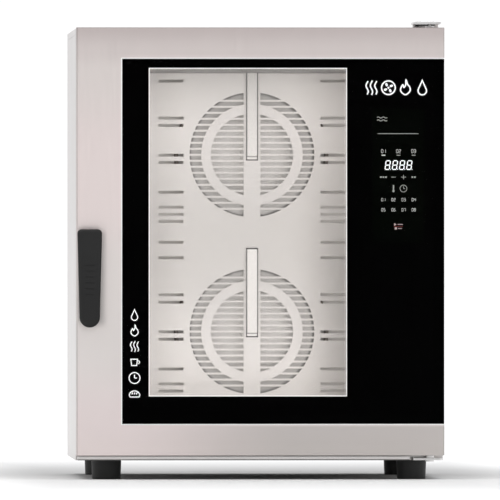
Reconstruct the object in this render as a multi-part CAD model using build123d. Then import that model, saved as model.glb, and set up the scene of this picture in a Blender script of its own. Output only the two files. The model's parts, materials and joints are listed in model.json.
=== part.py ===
from build123d import *
import os
from math import cos, radians, sin

# Combi steamer oven, millimetres, +Z up, front towards -Y.
# The origin is on the floor, under the middle of the object's bounding box.

os.makedirs("parts", exist_ok=True)

# ---------------------------------------------------------------- driving dimensions
WIDTH = 760.0            # cabinet and door
DEPTH = 850.0            # door front to rear panel
HANDLE_REACH = 44.0      # handle in front of the door
REAR_REACH = 30.0        # pipes behind the rear panel
FOOT_HEIGHT = 38.9       # floor to the underside of the cabinet
DOOR_TOP = 933.3
DOOR_BOTTOM = 49.4
COVER_TOP = 932.5
SHEET = 1.5              # stainless sheet
HALF = WIDTH / 2
FRONT_Y = HANDLE_REACH - (HANDLE_REACH + DEPTH + REAR_REACH) / 2


def behind(depth):
    """Y of a plane that lies this far behind the door's front face."""
    return FRONT_Y + depth


# Planes, each as its depth behind the door's front face
DOOR_BACK = 60.0
BODY_FRONT = 70.0
BAFFLE = 510.0
CHAMBER_BACK = 630.0
BULKHEAD = 670.0
REAR = DEPTH

# Cooking cavity, seen from inside
CAVITY_HALF = 325.0
CAVITY_FLOOR = 131.0
CAVITY_CEILING = 846.0
INSULATION = 39.5
INSULATION_FLOOR_Z = 107.0

# Two fans, one above the other, in the cavity's rear chamber
FAN_Z = {"upper": 674.0, "lower": 303.0}
FAN_PITCH = FAN_Z["upper"] - FAN_Z["lower"]
WHEEL_R = 140.0
SHAFT_R = 8.0
HEATER_R = 158.0
HEATER_TUBE_R = 4.25
HEATER_LEG_R = 5.0
HEATER_LEG_ANGLES = (45.0, 135.0)

# Door glass, window and hinge
GLASS_LEFT = -288.0
GLASS_BOTTOM = 112.2
GLASS_TOP = 870.9
WINDOW = (-230.7, 178.9, 171.4, 849.9)      # left, right, bottom, top
HINGE_X = 350.4
HINGE_DEPTH = 28.0
PIN_R = 6.0
PIN_CLEARANCE = 0.1
SEAT = 0.15              # play between a fixed part and the hole it sits in
CHAMFER_X = 345.0        # the door's hinge-side rear edge is cut off from here
CHAMFER_DEPTH = 28.0     # to here on its side face, so that it swings clear

# Handle and latch
HANDLE_X = -353.5
HANDLE_PIVOT_Z = 488.0
HANDLE_TOP = 516.6
HANDLE_BOTTOM = 314.0
HANDLE_TOP_HALF = 25.4
HANDLE_END_R = 21.1
HANDLE_GAP = 20.0
SPINDLE_R = 8.0
BULLET_R = 15.0

# Levelling feet
FOOT_X = 316.0
FOOT_DEPTHS = (100.0, 703.0)
FOOT_R_TOP = 31.0
FOOT_R_BOTTOM = 29.5
STUD_R = 6.0

# Connections on the rear
EXHAUST_AT = (-240.0, 800.0)
SPIGOT_START = REAR + 2.0    # the pipes' outer ends, behind the rear panel
SPIGOT_END = REAR + REAR_REACH
EXHAUST_R = 25.0
EXHAUST_PIPE_R = 24.0
DRAIN_Z = 85.0
DRAIN_R = 20.0
DRAIN_PIPE_R = 19.0
GLAND_AT = (-300.0, 90.0)
GLAND_BORE_R = 6.5
GLAND_BODY_R = 10.0
INLET_AT = (-200.0, 90.0)
INLET_R = 13.2
INLET_BODY_R = 12.0
INLET_END = REAR + 24.0
COOLER_AT = (230.0, 780.0)
COOLER_R = 56.0

# Racks
RACK_LEVELS = 8
RACK_PITCH = 80.0
RACK_FIRST_Z = 180.0
RACK_RAIL_X = 296.0
RACK_POST_X = 315.0
RACK_POST_DEPTHS = (150.0, 450.0)

nodes = {}


# ---------------------------------------------------------------- helpers
def block(x0, x1, d0, d1, z0, z1):
    """Box from x0 to x1, from depth d0 to d1 behind the door front, from z0 to z1."""
    size = Box(x1 - x0, d1 - d0, z1 - z0)
    return Pos((x0 + x1) / 2, behind((d0 + d1) / 2), (z0 + z1) / 2) * size


def rod_y(x, z, radius, d0, d1):
    return Pos(x, behind((d0 + d1) / 2), z) * Rot(90, 0, 0) * Cylinder(radius, d1 - d0)


def rod_z(x, depth, radius, z0, z1):
    return Pos(x, behind(depth), (z0 + z1) / 2) * Cylinder(radius, z1 - z0)


def rod_x(depth, z, radius, x0, x1):
    return Pos((x0 + x1) / 2, behind(depth), z) * Rot(0, 90, 0) * Cylinder(radius, x1 - x0)


def plate(sketch, d0, d1):
    """Sketch drawn in X and Z, made solid from depth d0 to d1."""
    return extrude(Plane.XZ.offset(-behind(d1)) * sketch, amount=d1 - d0)


def rectangle(x0, x1, z0, z1):
    return Pos((x0 + x1) / 2, (z0 + z1) / 2) * Rectangle(x1 - x0, z1 - z0)


def ring(outer, inner, d0, d1):
    """Rectangular frame between two (left, right, bottom, top) outlines."""
    return plate(rectangle(*outer) - rectangle(*inner), d0, d1)


def grown(outline, by):
    left, right, bottom, top = outline
    return (left - by, right + by, bottom - by, top + by)


def group(shapes):
    """Several separate solids kept in one node."""
    solids = []
    for shape in shapes:
        solids.extend(shape.solids())
    return Compound(solids)


def on_circle(radius, angle):
    return radius * cos(radians(angle)), radius * sin(radians(angle))


def heater_legs(radius, d0, d1):
    """The heating elements' straight legs, or the holes for them."""
    legs = []
    for centre_z in FAN_Z.values():
        for angle in HEATER_LEG_ANGLES:
            x, z = on_circle(HEATER_R, angle)
            legs.append(rod_y(x, centre_z + z, radius, d0, d1))
    return legs


# ---------------------------------------------------------------- feet and base
FEET = {}
for side, foot_x in (("left", -FOOT_X), ("right", FOOT_X)):
    for end, foot_depth in zip(("front", "rear"), FOOT_DEPTHS):
        FEET[f"foot_{end}_{side}"] = (foot_x, foot_depth)

BASE_HALF = HALF - SHEET
BASE_RIM_TOP = 62.0
BASE_SHEET = 2.0
BASE_FLOOR_TOP = FOOT_HEIGHT + BASE_SHEET
BASE_FRONT = BODY_FRONT + 2.0
BASE_REAR = REAR - 2 * SHEET


def foot(x, depth):
    """Moulded levelling foot with its threaded stud."""
    top = FOOT_HEIGHT - 0.3
    body = Pos(x, behind(depth), top / 2) * Cone(FOOT_R_BOTTOM, FOOT_R_TOP, top)
    body = chamfer(body.edges().filter_by(GeomType.CIRCLE), 1.5)
    return body + rod_z(x, depth, STUD_R, top - 1, top + 26)


def base_frame():
    tray = block(-BASE_HALF, BASE_HALF, BASE_FRONT, BASE_REAR, FOOT_HEIGHT, BASE_RIM_TOP)
    tray -= block(-BASE_HALF + BASE_SHEET, BASE_HALF - BASE_SHEET, BASE_FRONT + BASE_SHEET,
                  BASE_REAR - BASE_SHEET, BASE_FLOOR_TOP, BASE_RIM_TOP + 1)
    for x, depth in FEET.values():
        tray += rod_z(x, depth, 16, BASE_FLOOR_TOP, BASE_FLOOR_TOP + 15)
    for x, depth in FEET.values():
        tray -= rod_z(x, depth, STUD_R + 0.3, FOOT_HEIGHT - 1, BASE_FLOOR_TOP + 16)
    return tray


def drip_gutter():
    """Channel under the door's lower edge that catches its drips."""
    right = HINGE_X - 42
    depth0 = 5.0
    top = 47.6
    gutter = block(-HALF + 3, right, depth0, BODY_FRONT, FOOT_HEIGHT + 0.6, top)
    gutter -= block(-HALF + 4.2, right - 1.2, depth0 + 1.2, BODY_FRONT - 1.2,
                    FOOT_HEIGHT + 1.8, top + 1)
    return gutter


for name, (x, depth) in FEET.items():
    nodes[name] = foot(x, depth)
nodes["base_frame"] = base_frame()
nodes["drip_gutter"] = drip_gutter()

# ---------------------------------------------------------------- outer panels
SKIRT_BOTTOM = 919.5
PANEL_TOP = 919.0
TONGUE_TOP = COVER_TOP - SHEET
FLANGE = 12.0
SCREW_R = 2.0
SCREW_INSET = 6.0
REAR_SCREW_ZS = (90.0, 300.0, 510.0, 720.0, 890.0)
COVER_SCREW_XS = (-330.0, -110.0, 110.0, 330.0)
COVER_SCREW_Z = 925.0
OUTER_CORNER = 2.0


def side_panel(side):
    """Folded side sheet: web, front and rear flange, and a stepped edge under the cover."""
    outer = HALF
    inner = HALF - SHEET
    panel = block(inner, outer, BODY_FRONT, REAR - SHEET, FOOT_HEIGHT, PANEL_TOP)
    panel += block(inner - FLANGE, inner, BASE_FRONT, BASE_FRONT + SHEET, BASE_RIM_TOP + 2, 917)
    panel += block(inner - FLANGE, inner, REAR - 2 * SHEET, REAR - SHEET, BASE_RIM_TOP + 2, 917)
    panel += block(inner - SHEET, outer, BASE_FRONT + 8, REAR - 8, PANEL_TOP - SHEET, PANEL_TOP)
    panel += block(inner - SHEET, inner, BASE_FRONT + 8, REAR - 8, PANEL_TOP - SHEET, TONGUE_TOP)
    for z in REAR_SCREW_ZS:
        panel -= rod_y(inner - SCREW_INSET, z, SCREW_R, REAR - 10, REAR)
    if side == "left":
        panel = mirror(panel, Plane.YZ)
        panel -= block(-HALF + SHEET, -HALF + 16, BODY_FRONT, BODY_FRONT + 6, 450, 526)
    return panel


def top_cover():
    """Lid sheet with a folded skirt on all four sides."""
    cover = block(-HALF, HALF, BODY_FRONT, REAR, SKIRT_BOTTOM, COVER_TOP)
    cover -= block(-HALF + SHEET, HALF - SHEET, BODY_FRONT + SHEET, REAR - SHEET,
                   SKIRT_BOTTOM - 1, COVER_TOP - SHEET)
    upper_edges = cover.edges().group_by(Axis.Z)[-1]
    cover = fillet(upper_edges, 1.2)
    for x in COVER_SCREW_XS:
        cover -= rod_y(x, COVER_SCREW_Z, SCREW_R, REAR - 5, REAR + 1)
    return cover


def louvres(x0, x1, z0, rows, pitch, height):
    cuts = []
    for row in range(rows):
        z = z0 + row * pitch
        cuts.append(block(x0, x1, REAR - 4, REAR + 1, z, z + height))
    return cuts


def cooler_guard():
    """Finger guard: concentric openings with two crossing bars left between them."""
    x, z = COOLER_AT
    guard = Sketch()
    for outer in (COOLER_R, COOLER_R - 10, COOLER_R - 20, COOLER_R - 30):
        guard += Circle(outer) - Circle(outer - 7)
    for angle in (45, 135):
        guard -= Rot(0, 0, angle) * Rectangle(2 * COOLER_R + 4, 4)
    return plate(Pos(x, z) * guard, REAR - 4, REAR + 1)


def rear_panel():
    inner = HALF - SHEET - 0.3
    panel = block(-inner, inner, REAR - SHEET, REAR, FOOT_HEIGHT + 2, PANEL_TOP)
    panel += block(-350, 350, REAR - 2 * SHEET, REAR - SHEET, PANEL_TOP - 10, TONGUE_TOP)
    for cut in louvres(-150, 150, 500, 9, 16, 5):
        panel -= cut
    for cut in louvres(150, 330, 120, 9, 16, 5):
        panel -= cut
    panel -= cooler_guard()
    panel -= rod_y(*EXHAUST_AT, EXHAUST_PIPE_R + 0.4, REAR - 10, REAR + 1)
    panel -= rod_y(0, DRAIN_Z, DRAIN_PIPE_R + 0.4, REAR - 10, REAR + 1)
    panel -= rod_y(*GLAND_AT, GLAND_BODY_R + SEAT, REAR - 10, REAR + 1)
    panel -= rod_y(*INLET_AT, INLET_BODY_R + 0.4, REAR - 10, REAR + 1)
    for z in REAR_SCREW_ZS:
        for side in (-1, 1):
            panel -= rod_y(side * (HALF - SHEET - SCREW_INSET), z, SCREW_R, REAR - 5, REAR + 1)
    for x in COVER_SCREW_XS:
        panel -= rod_y(x, COVER_SCREW_Z, SCREW_R, REAR - 10, REAR + 1)
    return panel


def pan_screw(x, z, depth):
    """Domed screw whose head lies on the plane at this depth, seen from the rear."""
    head = rod_y(x, z, 4.5, depth, depth + 2.4)
    head = fillet(head.edges().group_by(Axis.Y)[-1], 1.6)
    head -= block(x - 2.6, x + 2.6, depth + 1.3, depth + 3, z - 0.5, z + 0.5)
    head -= block(x - 0.5, x + 0.5, depth + 1.3, depth + 3, z - 2.6, z + 2.6)
    return head + rod_y(x, z, SCREW_R, depth - 7, depth)


def panel_screws():
    screws = []
    for z in REAR_SCREW_ZS:
        for side in (-1, 1):
            screws.append(pan_screw(side * (HALF - SHEET - SCREW_INSET), z, REAR))
    for x in COVER_SCREW_XS:
        screws.append(pan_screw(x, COVER_SCREW_Z, REAR))
    return group(screws)


nodes["side_panel_left"] = side_panel("left")
nodes["side_panel_right"] = side_panel("right")
nodes["top_cover"] = top_cover()
nodes["rear_panel"] = rear_panel()
nodes["panel_screws"] = panel_screws()

# ---------------------------------------------------------------- cooking cavity
CORNER_R = 12.0
KEEPER_WINDOW = (-371.0, -337.0, 459.0, 517.0)
PROBE_AT = (-200.0, 488.5)
DRAIN_DEPTH = 300.0
TUBE_DEPTH = 504.5
TUBE_R = 4.0
UPPER_TUBE_Z = 905.0
LOWER_TUBE_Z = 472.0
SEAL_NECK_R = 15.0
LEG_HOLE_R = HEATER_LEG_R + 0.3
TUBE_HOLE_R = TUBE_R + 0.4
BAFFLE_POST_X = 300.0
BAFFLE_POST_ZS = (190.0, 488.5, 790.0)
BAFFLE_POST_R = 6.0
BAFFLE_SCREW_R = 2.5
PEG_ZS = (240.0, 760.0)
CAVITY_MID_Z = (CAVITY_FLOOR + CAVITY_CEILING) / 2
CAVITY_HEIGHT = CAVITY_CEILING - CAVITY_FLOOR


def cavity_outline(growth):
    """Cavity cross-section with rounded corners, larger or smaller on every side."""
    width = 2 * (CAVITY_HALF + growth)
    height = CAVITY_HEIGHT + 2 * growth
    return Pos(0, CAVITY_MID_Z) * RectangleRounded(width, height, CORNER_R + growth)


def front_frame():
    """Face sheet around the cavity's mouth, with the latch window on its left."""
    outer = rectangle(-HALF + SHEET + 0.3, HALF - SHEET - 0.3, FOOT_HEIGHT + 2.1, PANEL_TOP)
    frame = plate(outer - cavity_outline(0), BODY_FRONT, BASE_FRONT)
    frame += block(-350, 350, BASE_FRONT, BASE_FRONT + SHEET, PANEL_TOP - 10, TONGUE_TOP)
    frame -= plate(rectangle(*KEEPER_WINDOW), BODY_FRONT - 1, BASE_FRONT + 1)
    return frame


def rack_pegs():
    pegs = []
    for z in PEG_ZS:
        for depth in RACK_POST_DEPTHS:
            inner = RACK_POST_X + 4.0
            pegs.append(rod_x(depth, z, 5, -CAVITY_HALF - 0.5, -inner))
            pegs.append(rod_x(depth, z, 5, inner, CAVITY_HALF + 0.5))
    return pegs


def cavity_liner():
    """Welded stainless box, open to the front, with baffle posts and rack pegs."""
    liner = plate(cavity_outline(SHEET), BASE_FRONT, CHAMBER_BACK)
    liner -= plate(cavity_outline(0), BASE_FRONT - 1, CHAMBER_BACK - SHEET)
    for x in (-BAFFLE_POST_X, BAFFLE_POST_X):
        for z in BAFFLE_POST_ZS:
            liner += rod_y(x, z, BAFFLE_POST_R, BAFFLE + SHEET, CHAMBER_BACK - 0.5)
            liner -= rod_y(x, z, BAFFLE_SCREW_R + SEAT, BAFFLE, BAFFLE + 14)
    for peg in rack_pegs():
        liner += peg
    for z in FAN_Z.values():
        liner -= rod_y(0, z, SEAL_NECK_R + SEAT, CHAMBER_BACK - 5, CHAMBER_BACK + 1)
    for hole in heater_legs(LEG_HOLE_R, CHAMBER_BACK - 5, CHAMBER_BACK + 1):
        liner -= hole
    liner -= rod_y(*EXHAUST_AT, EXHAUST_PIPE_R + SEAT, CHAMBER_BACK - 5, CHAMBER_BACK + 1)
    liner -= rod_y(*PROBE_AT, 3.2, CHAMBER_BACK - 5, CHAMBER_BACK + 1)
    liner -= rod_y(0, LOWER_TUBE_Z, TUBE_HOLE_R, CHAMBER_BACK - 5, CHAMBER_BACK + 1)
    liner -= rod_z(0, TUBE_DEPTH, TUBE_HOLE_R, CAVITY_CEILING - 1, CAVITY_CEILING + 5)
    liner -= rod_z(0, DRAIN_DEPTH, DRAIN_PIPE_R + SEAT, CAVITY_FLOOR - 5, CAVITY_FLOOR + 1)
    return liner


def door_gasket():
    """Silicone loop on the face sheet, with a hollow bulb that the closed door nearly meets."""
    outer = cavity_outline(10.0)
    inner = cavity_outline(2.0)
    base = plate(outer - inner, BODY_FRONT - 5.0, BODY_FRONT)
    lip = plate(cavity_outline(8.5) - cavity_outline(3.5), DOOR_BACK + 0.4, BODY_FRONT - 5.0)
    return base + lip


def rear_penetrations(d0, d1):
    """Everything that passes through the rear insulation and its cover sheet."""
    holes = [rod_y(0, z, 22, d0, d1) for z in FAN_Z.values()]
    holes.extend(heater_legs(LEG_HOLE_R + 1, d0, d1))
    holes.append(rod_y(*EXHAUST_AT, EXHAUST_PIPE_R + 1, d0, d1))
    holes.append(rod_y(*PROBE_AT, 5, d0, d1))
    holes.append(rod_y(0, LOWER_TUBE_Z, TUBE_R + 2, d0, d1))
    return holes


def insulation_slabs():
    """Mineral-wool slabs around the liner: two sides, top, floor and rear."""
    inner = CAVITY_HALF + SHEET
    outer = inner + INSULATION
    top = CAVITY_CEILING + SHEET + INSULATION
    front = BASE_FRONT + 3
    slabs = []
    for side in (-1, 1):
        x0, x1 = sorted((side * inner, side * outer))
        slab = block(x0, x1, front, CHAMBER_BACK, INSULATION_FLOOR_Z, top)
        if side < 0:
            slab -= block(x0 - 1, -332, front - 1, BODY_FRONT + 36, 450, 526)
        slabs.append(slab)
    upper = block(-inner, inner, front, CHAMBER_BACK, CAVITY_CEILING + SHEET, top)
    upper -= rod_z(0, TUBE_DEPTH, TUBE_R + 2, CAVITY_CEILING, top + 1)
    lower = block(-inner, inner, front, CHAMBER_BACK, INSULATION_FLOOR_Z, CAVITY_FLOOR - SHEET)
    lower -= rod_z(0, DRAIN_DEPTH, DRAIN_PIPE_R + 3, INSULATION_FLOOR_Z - 1, CAVITY_FLOOR)
    rear = block(-outer, outer, CHAMBER_BACK, BULKHEAD, INSULATION_FLOOR_Z, top)
    for hole in rear_penetrations(CHAMBER_BACK - 1, BULKHEAD + 1):
        rear -= hole
    return group(slabs + [upper, lower, rear])


def bulkhead():
    """Sheet wall behind the insulation; it carries the motors and the electrics."""
    edge = HALF - SHEET - 2.5
    wall = block(-edge, edge, BULKHEAD, BULKHEAD + SHEET, BASE_FLOOR_TOP, 895)
    for hole in rear_penetrations(BULKHEAD - 1, BULKHEAD + 3):
        wall -= hole
    wall -= rod_y(0, DRAIN_Z, DRAIN_PIPE_R + 1, BULKHEAD - 1, BULKHEAD + 3)
    return wall


nodes["front_frame"] = front_frame()
nodes["cavity_liner"] = cavity_liner()
nodes["door_gasket"] = door_gasket()
nodes["insulation_slabs"] = insulation_slabs()
nodes["bulkhead"] = bulkhead()

# ---------------------------------------------------------------- fan baffle
SLOT_PITCH = 12.6
SLOT_HEIGHT = 8.3
SLOT_ROWS = 10           # above the fan's centre, and as many below it
INNER_SLOTS_R = 86.2
OUTER_SLOTS_RS = (106.8, 131.0)
PLAIN_STRIP_HALF = 17.7
SIDE_SLOT_XS = (144.0, 196.0)
SIDE_SLOT_HEIGHT = 6.0
SIDE_SLOT_CORNER_R = 0.8
SIDE_SLOTS_BY_FAN = (154.8, 77.0, 61.6, -0.8, -16.2, -78.7, -110.1, -125.1)
SIDE_SLOTS_BETWEEN = (534.2, 490.3)
TUBE_COVER_HALF = 12.5
TUBE_COVER_FRONT = BAFFLE - 11.0
OUTLET_RISE = 3.0        # water outlet above the fan's centre
COVER_DROP = 4.0         # tube cover's end below the fan's centre


def fan_slots(centre_z):
    """Rows of slots inside a disc and a ring, with a plain strip up the middle."""
    reach = 300
    rows = Sketch()
    for k in range(-SLOT_ROWS, SLOT_ROWS):
        rows += Pos(0, (k + 0.5) * SLOT_PITCH) * Rectangle(reach, SLOT_HEIGHT)
    # the highest and the lowest row are open up to the edge of the ring
    for side in (-1, 1):
        rows += Pos(0, side * SLOT_ROWS * SLOT_PITCH) * Rectangle(reach, SLOT_HEIGHT)
    areas = Circle(INNER_SLOTS_R) + (Circle(OUTER_SLOTS_RS[1]) - Circle(OUTER_SLOTS_RS[0]))
    areas -= Rectangle(2 * PLAIN_STRIP_HALF, 300)
    return Pos(0, centre_z) * (rows & areas)


def side_slots():
    heights = list(SIDE_SLOTS_BETWEEN)
    for centre_z in FAN_Z.values():
        heights.extend(centre_z + offset for offset in SIDE_SLOTS_BY_FAN)
    width = SIDE_SLOT_XS[1] - SIDE_SLOT_XS[0]
    middle = sum(SIDE_SLOT_XS) / 2
    slots = Sketch()
    for z in heights:
        for side in (-1, 1):
            slots += Pos(side * middle, z) * RectangleRounded(width, SIDE_SLOT_HEIGHT, SIDE_SLOT_CORNER_R)
    return slots


def fan_baffle():
    sheet = cavity_outline(-0.8)
    sheet -= side_slots()
    for centre_z in FAN_Z.values():
        sheet -= fan_slots(centre_z)
        sheet -= Pos(0, centre_z + OUTLET_RISE) * Circle(TUBE_R + 1.6)
    sheet -= Pos(0, LOWER_TUBE_Z) * Circle(TUBE_R + 1.6)
    for x in (-BAFFLE_POST_X, BAFFLE_POST_X):
        for z in BAFFLE_POST_ZS:
            sheet -= Pos(x, z) * Circle(BAFFLE_SCREW_R + SEAT)
    return plate(sheet, BAFFLE, BAFFLE + SHEET)


def baffle_screws():
    screws = []
    for x in (-BAFFLE_POST_X, BAFFLE_POST_X):
        for z in BAFFLE_POST_ZS:
            head = rod_y(x, z, 8, BAFFLE - 9, BAFFLE)
            head = chamfer(head.edges().filter_by(GeomType.CIRCLE).group_by(Axis.Y)[0], 1)
            screws.append(head + rod_y(x, z, BAFFLE_SCREW_R, BAFFLE, BAFFLE + 12))
    return group(screws)


def tube_cover(bottom, top):
    """Channel over a water tube, closed at its lower end, with a screwed foot below."""
    wall = 1.2
    cover = block(-TUBE_COVER_HALF, TUBE_COVER_HALF, TUBE_COVER_FRONT, BAFFLE, bottom, top)
    cover -= block(-TUBE_COVER_HALF + wall, TUBE_COVER_HALF - wall, TUBE_COVER_FRONT + wall,
                   BAFFLE + 1, bottom + wall, top + 1)
    cover += block(-TUBE_COVER_HALF, TUBE_COVER_HALF, BAFFLE - wall, BAFFLE,
                   bottom - 8, bottom + wall)
    return cover


def water_tube(feed_z, feed_depth, outlet_z):
    """Tube from the rear, down behind its cover, to the middle of a fan."""
    line = FilletPolyline(
        (0, behind(feed_depth), feed_z),
        (0, behind(TUBE_DEPTH), feed_z),
        (0, behind(TUBE_DEPTH), outlet_z),
        (0, behind(TUBE_DEPTH + 26), outlet_z),
        radius=9,
    )
    section = Plane(origin=line @ 0, z_dir=line % 0) * (Circle(TUBE_R) - Circle(TUBE_R - 1))
    return sweep(section, path=line)


nodes["fan_baffle"] = fan_baffle()
nodes["baffle_screws"] = baffle_screws()
nodes["tube_covers"] = group([
    tube_cover(FAN_Z["upper"] - COVER_DROP, CAVITY_CEILING - 0.6),
    tube_cover(FAN_Z["lower"] - COVER_DROP, LOWER_TUBE_Z + 6),
])
nodes["water_tubes"] = group([
    water_tube(UPPER_TUBE_Z, 700, FAN_Z["upper"] + OUTLET_RISE),
    water_tube(LOWER_TUBE_Z, 700, FAN_Z["lower"] + OUTLET_RISE),
])

# ---------------------------------------------------------------- heating, fans and motors
MOTOR_BODY_R = 62.0
MOTOR_END = 800.0
SHAFT_FRONT = 560.0
SHAFT_END = 700.0
WHEEL_BACK = 592.0
WHEEL_FRONT = 542.0
WHEEL_EYE_R = 92.0
BLADE_COUNT = 24
BLADE_TILT = 28.0


def heating_element(centre_z):
    """Three rings of heater tube joined by two straight legs to the rear."""
    element = Part()
    for depth in (548.0, 562.0, 576.0):
        centre = Pos(0, behind(depth), centre_z)
        element += centre * Rot(90, 0, 0) * Torus(HEATER_R, HEATER_TUBE_R)
    for angle in HEATER_LEG_ANGLES:
        x, z = on_circle(HEATER_R, angle)
        element += rod_y(x, centre_z + z, HEATER_LEG_R, 543, 690)
        element += rod_y(x, centre_z + z, HEATER_LEG_R + 4, BULKHEAD + SHEET, BULKHEAD + 8)
    return element


def fan_motor(centre_z):
    """Motor with a square flange, cooling fins and a rear cap."""
    flange_front = BULKHEAD + SHEET
    motor = block(-70, 70, flange_front, flange_front + 8, centre_z - 70, centre_z + 70)
    motor = fillet(motor.edges().filter_by(Axis.Y), 14)
    motor += rod_y(0, centre_z, MOTOR_BODY_R, flange_front + 8, MOTOR_END - 25)
    motor += rod_y(0, centre_z, MOTOR_BODY_R - 6, MOTOR_END - 25, MOTOR_END)
    fins = Sketch() + [loc * Rectangle(8, 3) for loc in PolarLocations(MOTOR_BODY_R + 2, 20)]
    motor += plate(Pos(0, centre_z) * fins, flange_front + 14, MOTOR_END - 32)
    motor -= rod_y(0, centre_z, SHAFT_R + 0.3, flange_front - 1, SHAFT_END + 4)
    return motor


def shaft_seal(centre_z):
    seal = rod_y(0, centre_z, 22, CHAMBER_BACK - 5, CHAMBER_BACK - SHEET)
    seal += rod_y(0, centre_z, SEAL_NECK_R, CHAMBER_BACK - SHEET, CHAMBER_BACK + 12)
    return seal - rod_y(0, centre_z, SHAFT_R + 0.1, CHAMBER_BACK - 6, CHAMBER_BACK + 13)


def fan_wheel(centre_z):
    """Radial wheel: back disc, tilted blades, wide front ring and hub."""
    blade = Rot(0, 0, BLADE_TILT) * Rectangle(42, 1.5)
    blades = Sketch() + [loc * blade for loc in PolarLocations(112, BLADE_COUNT)]
    wheel = plate(Pos(0, centre_z) * blades, WHEEL_FRONT + 1.5, WHEEL_BACK)
    wheel += rod_y(0, centre_z, WHEEL_R, WHEEL_BACK, WHEEL_BACK + 2)
    front_ring = Pos(0, centre_z) * (Circle(WHEEL_R) - Circle(WHEEL_EYE_R))
    wheel += plate(front_ring, WHEEL_FRONT, WHEEL_FRONT + 1.5)
    wheel += rod_y(0, centre_z, 22, SHAFT_FRONT + 14, WHEEL_BACK + 14)
    return wheel - rod_y(0, centre_z, SHAFT_R, SHAFT_FRONT - 1, WHEEL_BACK + 15)


def fan_shaft(centre_z):
    """Motor shaft with the hexagon nut that holds the wheel on its front end."""
    nut_sketch = Pos(0, centre_z) * RegularPolygon(13, 6)
    nut = plate(nut_sketch, SHAFT_FRONT + 3, SHAFT_FRONT + 14)
    return nut + rod_y(0, centre_z, SHAFT_R, SHAFT_FRONT, SHAFT_END)


nodes["heating_elements"] = group([heating_element(z) for z in FAN_Z.values()])
nodes["fan_motors"] = group([fan_motor(z) for z in FAN_Z.values()])
nodes["shaft_seals"] = group([shaft_seal(z) for z in FAN_Z.values()])
for place, z in FAN_Z.items():
    nodes[f"fan_wheel_{place}"] = fan_wheel(z)
    nodes[f"fan_shaft_{place}"] = fan_shaft(z)

# ---------------------------------------------------------------- racks and cavity fittings
RAIL_R = 3.0
CROSS_R = 2.5
BAR_R = 3.2
POST_R = 4.0
POST_TAIL = 6.0
RACK_BOTTOM = 150.0
RACK_TOP = 830.0


def rack(side):
    """Wire rack that hangs on the side wall: two posts and a rail for each tray level."""
    frame = Part()
    post_x = side * RACK_POST_X
    rail_x = side * RACK_RAIL_X
    for depth in RACK_POST_DEPTHS:
        frame += rod_z(post_x, depth, POST_R, RACK_BOTTOM - POST_TAIL, RACK_TOP + POST_TAIL)
    for z in (RACK_BOTTOM, RACK_TOP):
        frame += rod_y(post_x, z, BAR_R, RACK_POST_DEPTHS[0] - 2 * POST_TAIL,
                       RACK_POST_DEPTHS[1] + 2 * POST_TAIL)
    for level in range(RACK_LEVELS):
        z = RACK_FIRST_Z + level * RACK_PITCH
        frame += rod_y(rail_x, z, RAIL_R, 95, 495)
        x0, x1 = sorted((rail_x, post_x))
        for depth in RACK_POST_DEPTHS:
            frame += rod_x(depth, z, CROSS_R, x0, x1)
    return frame


def cavity_probe():
    """Air temperature probe through the chamber's back wall."""
    x, z = PROBE_AT
    return rod_y(x, z, 3, 540, 690) + rod_y(x, z, 7, CHAMBER_BACK - 6, CHAMBER_BACK - SHEET)


def drain_pipe():
    """Drain from the cavity floor, turned to the rear, with a wider end to connect to."""
    line = FilletPolyline(
        (0, behind(DRAIN_DEPTH), CAVITY_FLOOR - 0.2),
        (0, behind(DRAIN_DEPTH), DRAIN_Z),
        (0, behind(SPIGOT_END), DRAIN_Z),
        radius=24,
    )
    bore = DRAIN_PIPE_R - SHEET
    section = Plane(origin=line @ 0, z_dir=line % 0) * (Circle(DRAIN_PIPE_R) - Circle(bore))
    end = rod_y(0, DRAIN_Z, DRAIN_R, SPIGOT_START, SPIGOT_END)
    end -= rod_y(0, DRAIN_Z, DRAIN_PIPE_R - SHEET / 2, SPIGOT_START - 1, SPIGOT_END + 1)
    return sweep(section, path=line) + end


def exhaust_pipe():
    """Steam outlet of the cavity, with a wider end to connect to."""
    pipe = rod_y(*EXHAUST_AT, EXHAUST_PIPE_R, CHAMBER_BACK - SHEET, SPIGOT_END)
    pipe += rod_y(*EXHAUST_AT, EXHAUST_R, SPIGOT_START, SPIGOT_END)
    return pipe - rod_y(*EXHAUST_AT, EXHAUST_PIPE_R - SHEET, CHAMBER_BACK - 5, SPIGOT_END + 1)


nodes["rack_left"] = rack(-1)
nodes["rack_right"] = rack(1)
nodes["cavity_probe"] = cavity_probe()
nodes["drain_pipe"] = drain_pipe()
nodes["exhaust_pipe"] = exhaust_pipe()

# ---------------------------------------------------------------- electrics and connections
COOLER_FRONT = REAR - SHEET - 38.0
BOARD_EDGES = (-350.0, -120.0, 420.0, 640.0)


def power_board():
    """Circuit board on standoffs, with relays, a transformer and a heat sink."""
    x0, x1, z0, z1 = BOARD_EDGES
    board = block(x0, x1, 690, 691.6, z0, z1)
    for x in (x0 + 10, x1 - 10):
        for z in (z0 + 10, z1 - 10):
            board += rod_y(x, z, 4, BULKHEAD + SHEET, 690)
    for k in range(5):
        board += block(x0 + 24 + 36 * k, x0 + 50 + 36 * k, 691.6, 715, z1 - 60, z1 - 30)
    board += block(x0 + 24, x0 + 84, 691.6, 735, z0 + 30, z0 + 80)
    for k in range(7):
        board += block(x1 - 90 + 10 * k, x1 - 86 + 10 * k, 691.6, 725, z0 + 30, z0 + 110)
    for k in range(6):
        board += rod_y(x0 + 32 + 22 * k, z0 + 115, 8, 691.6, 716)
    return board


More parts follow.
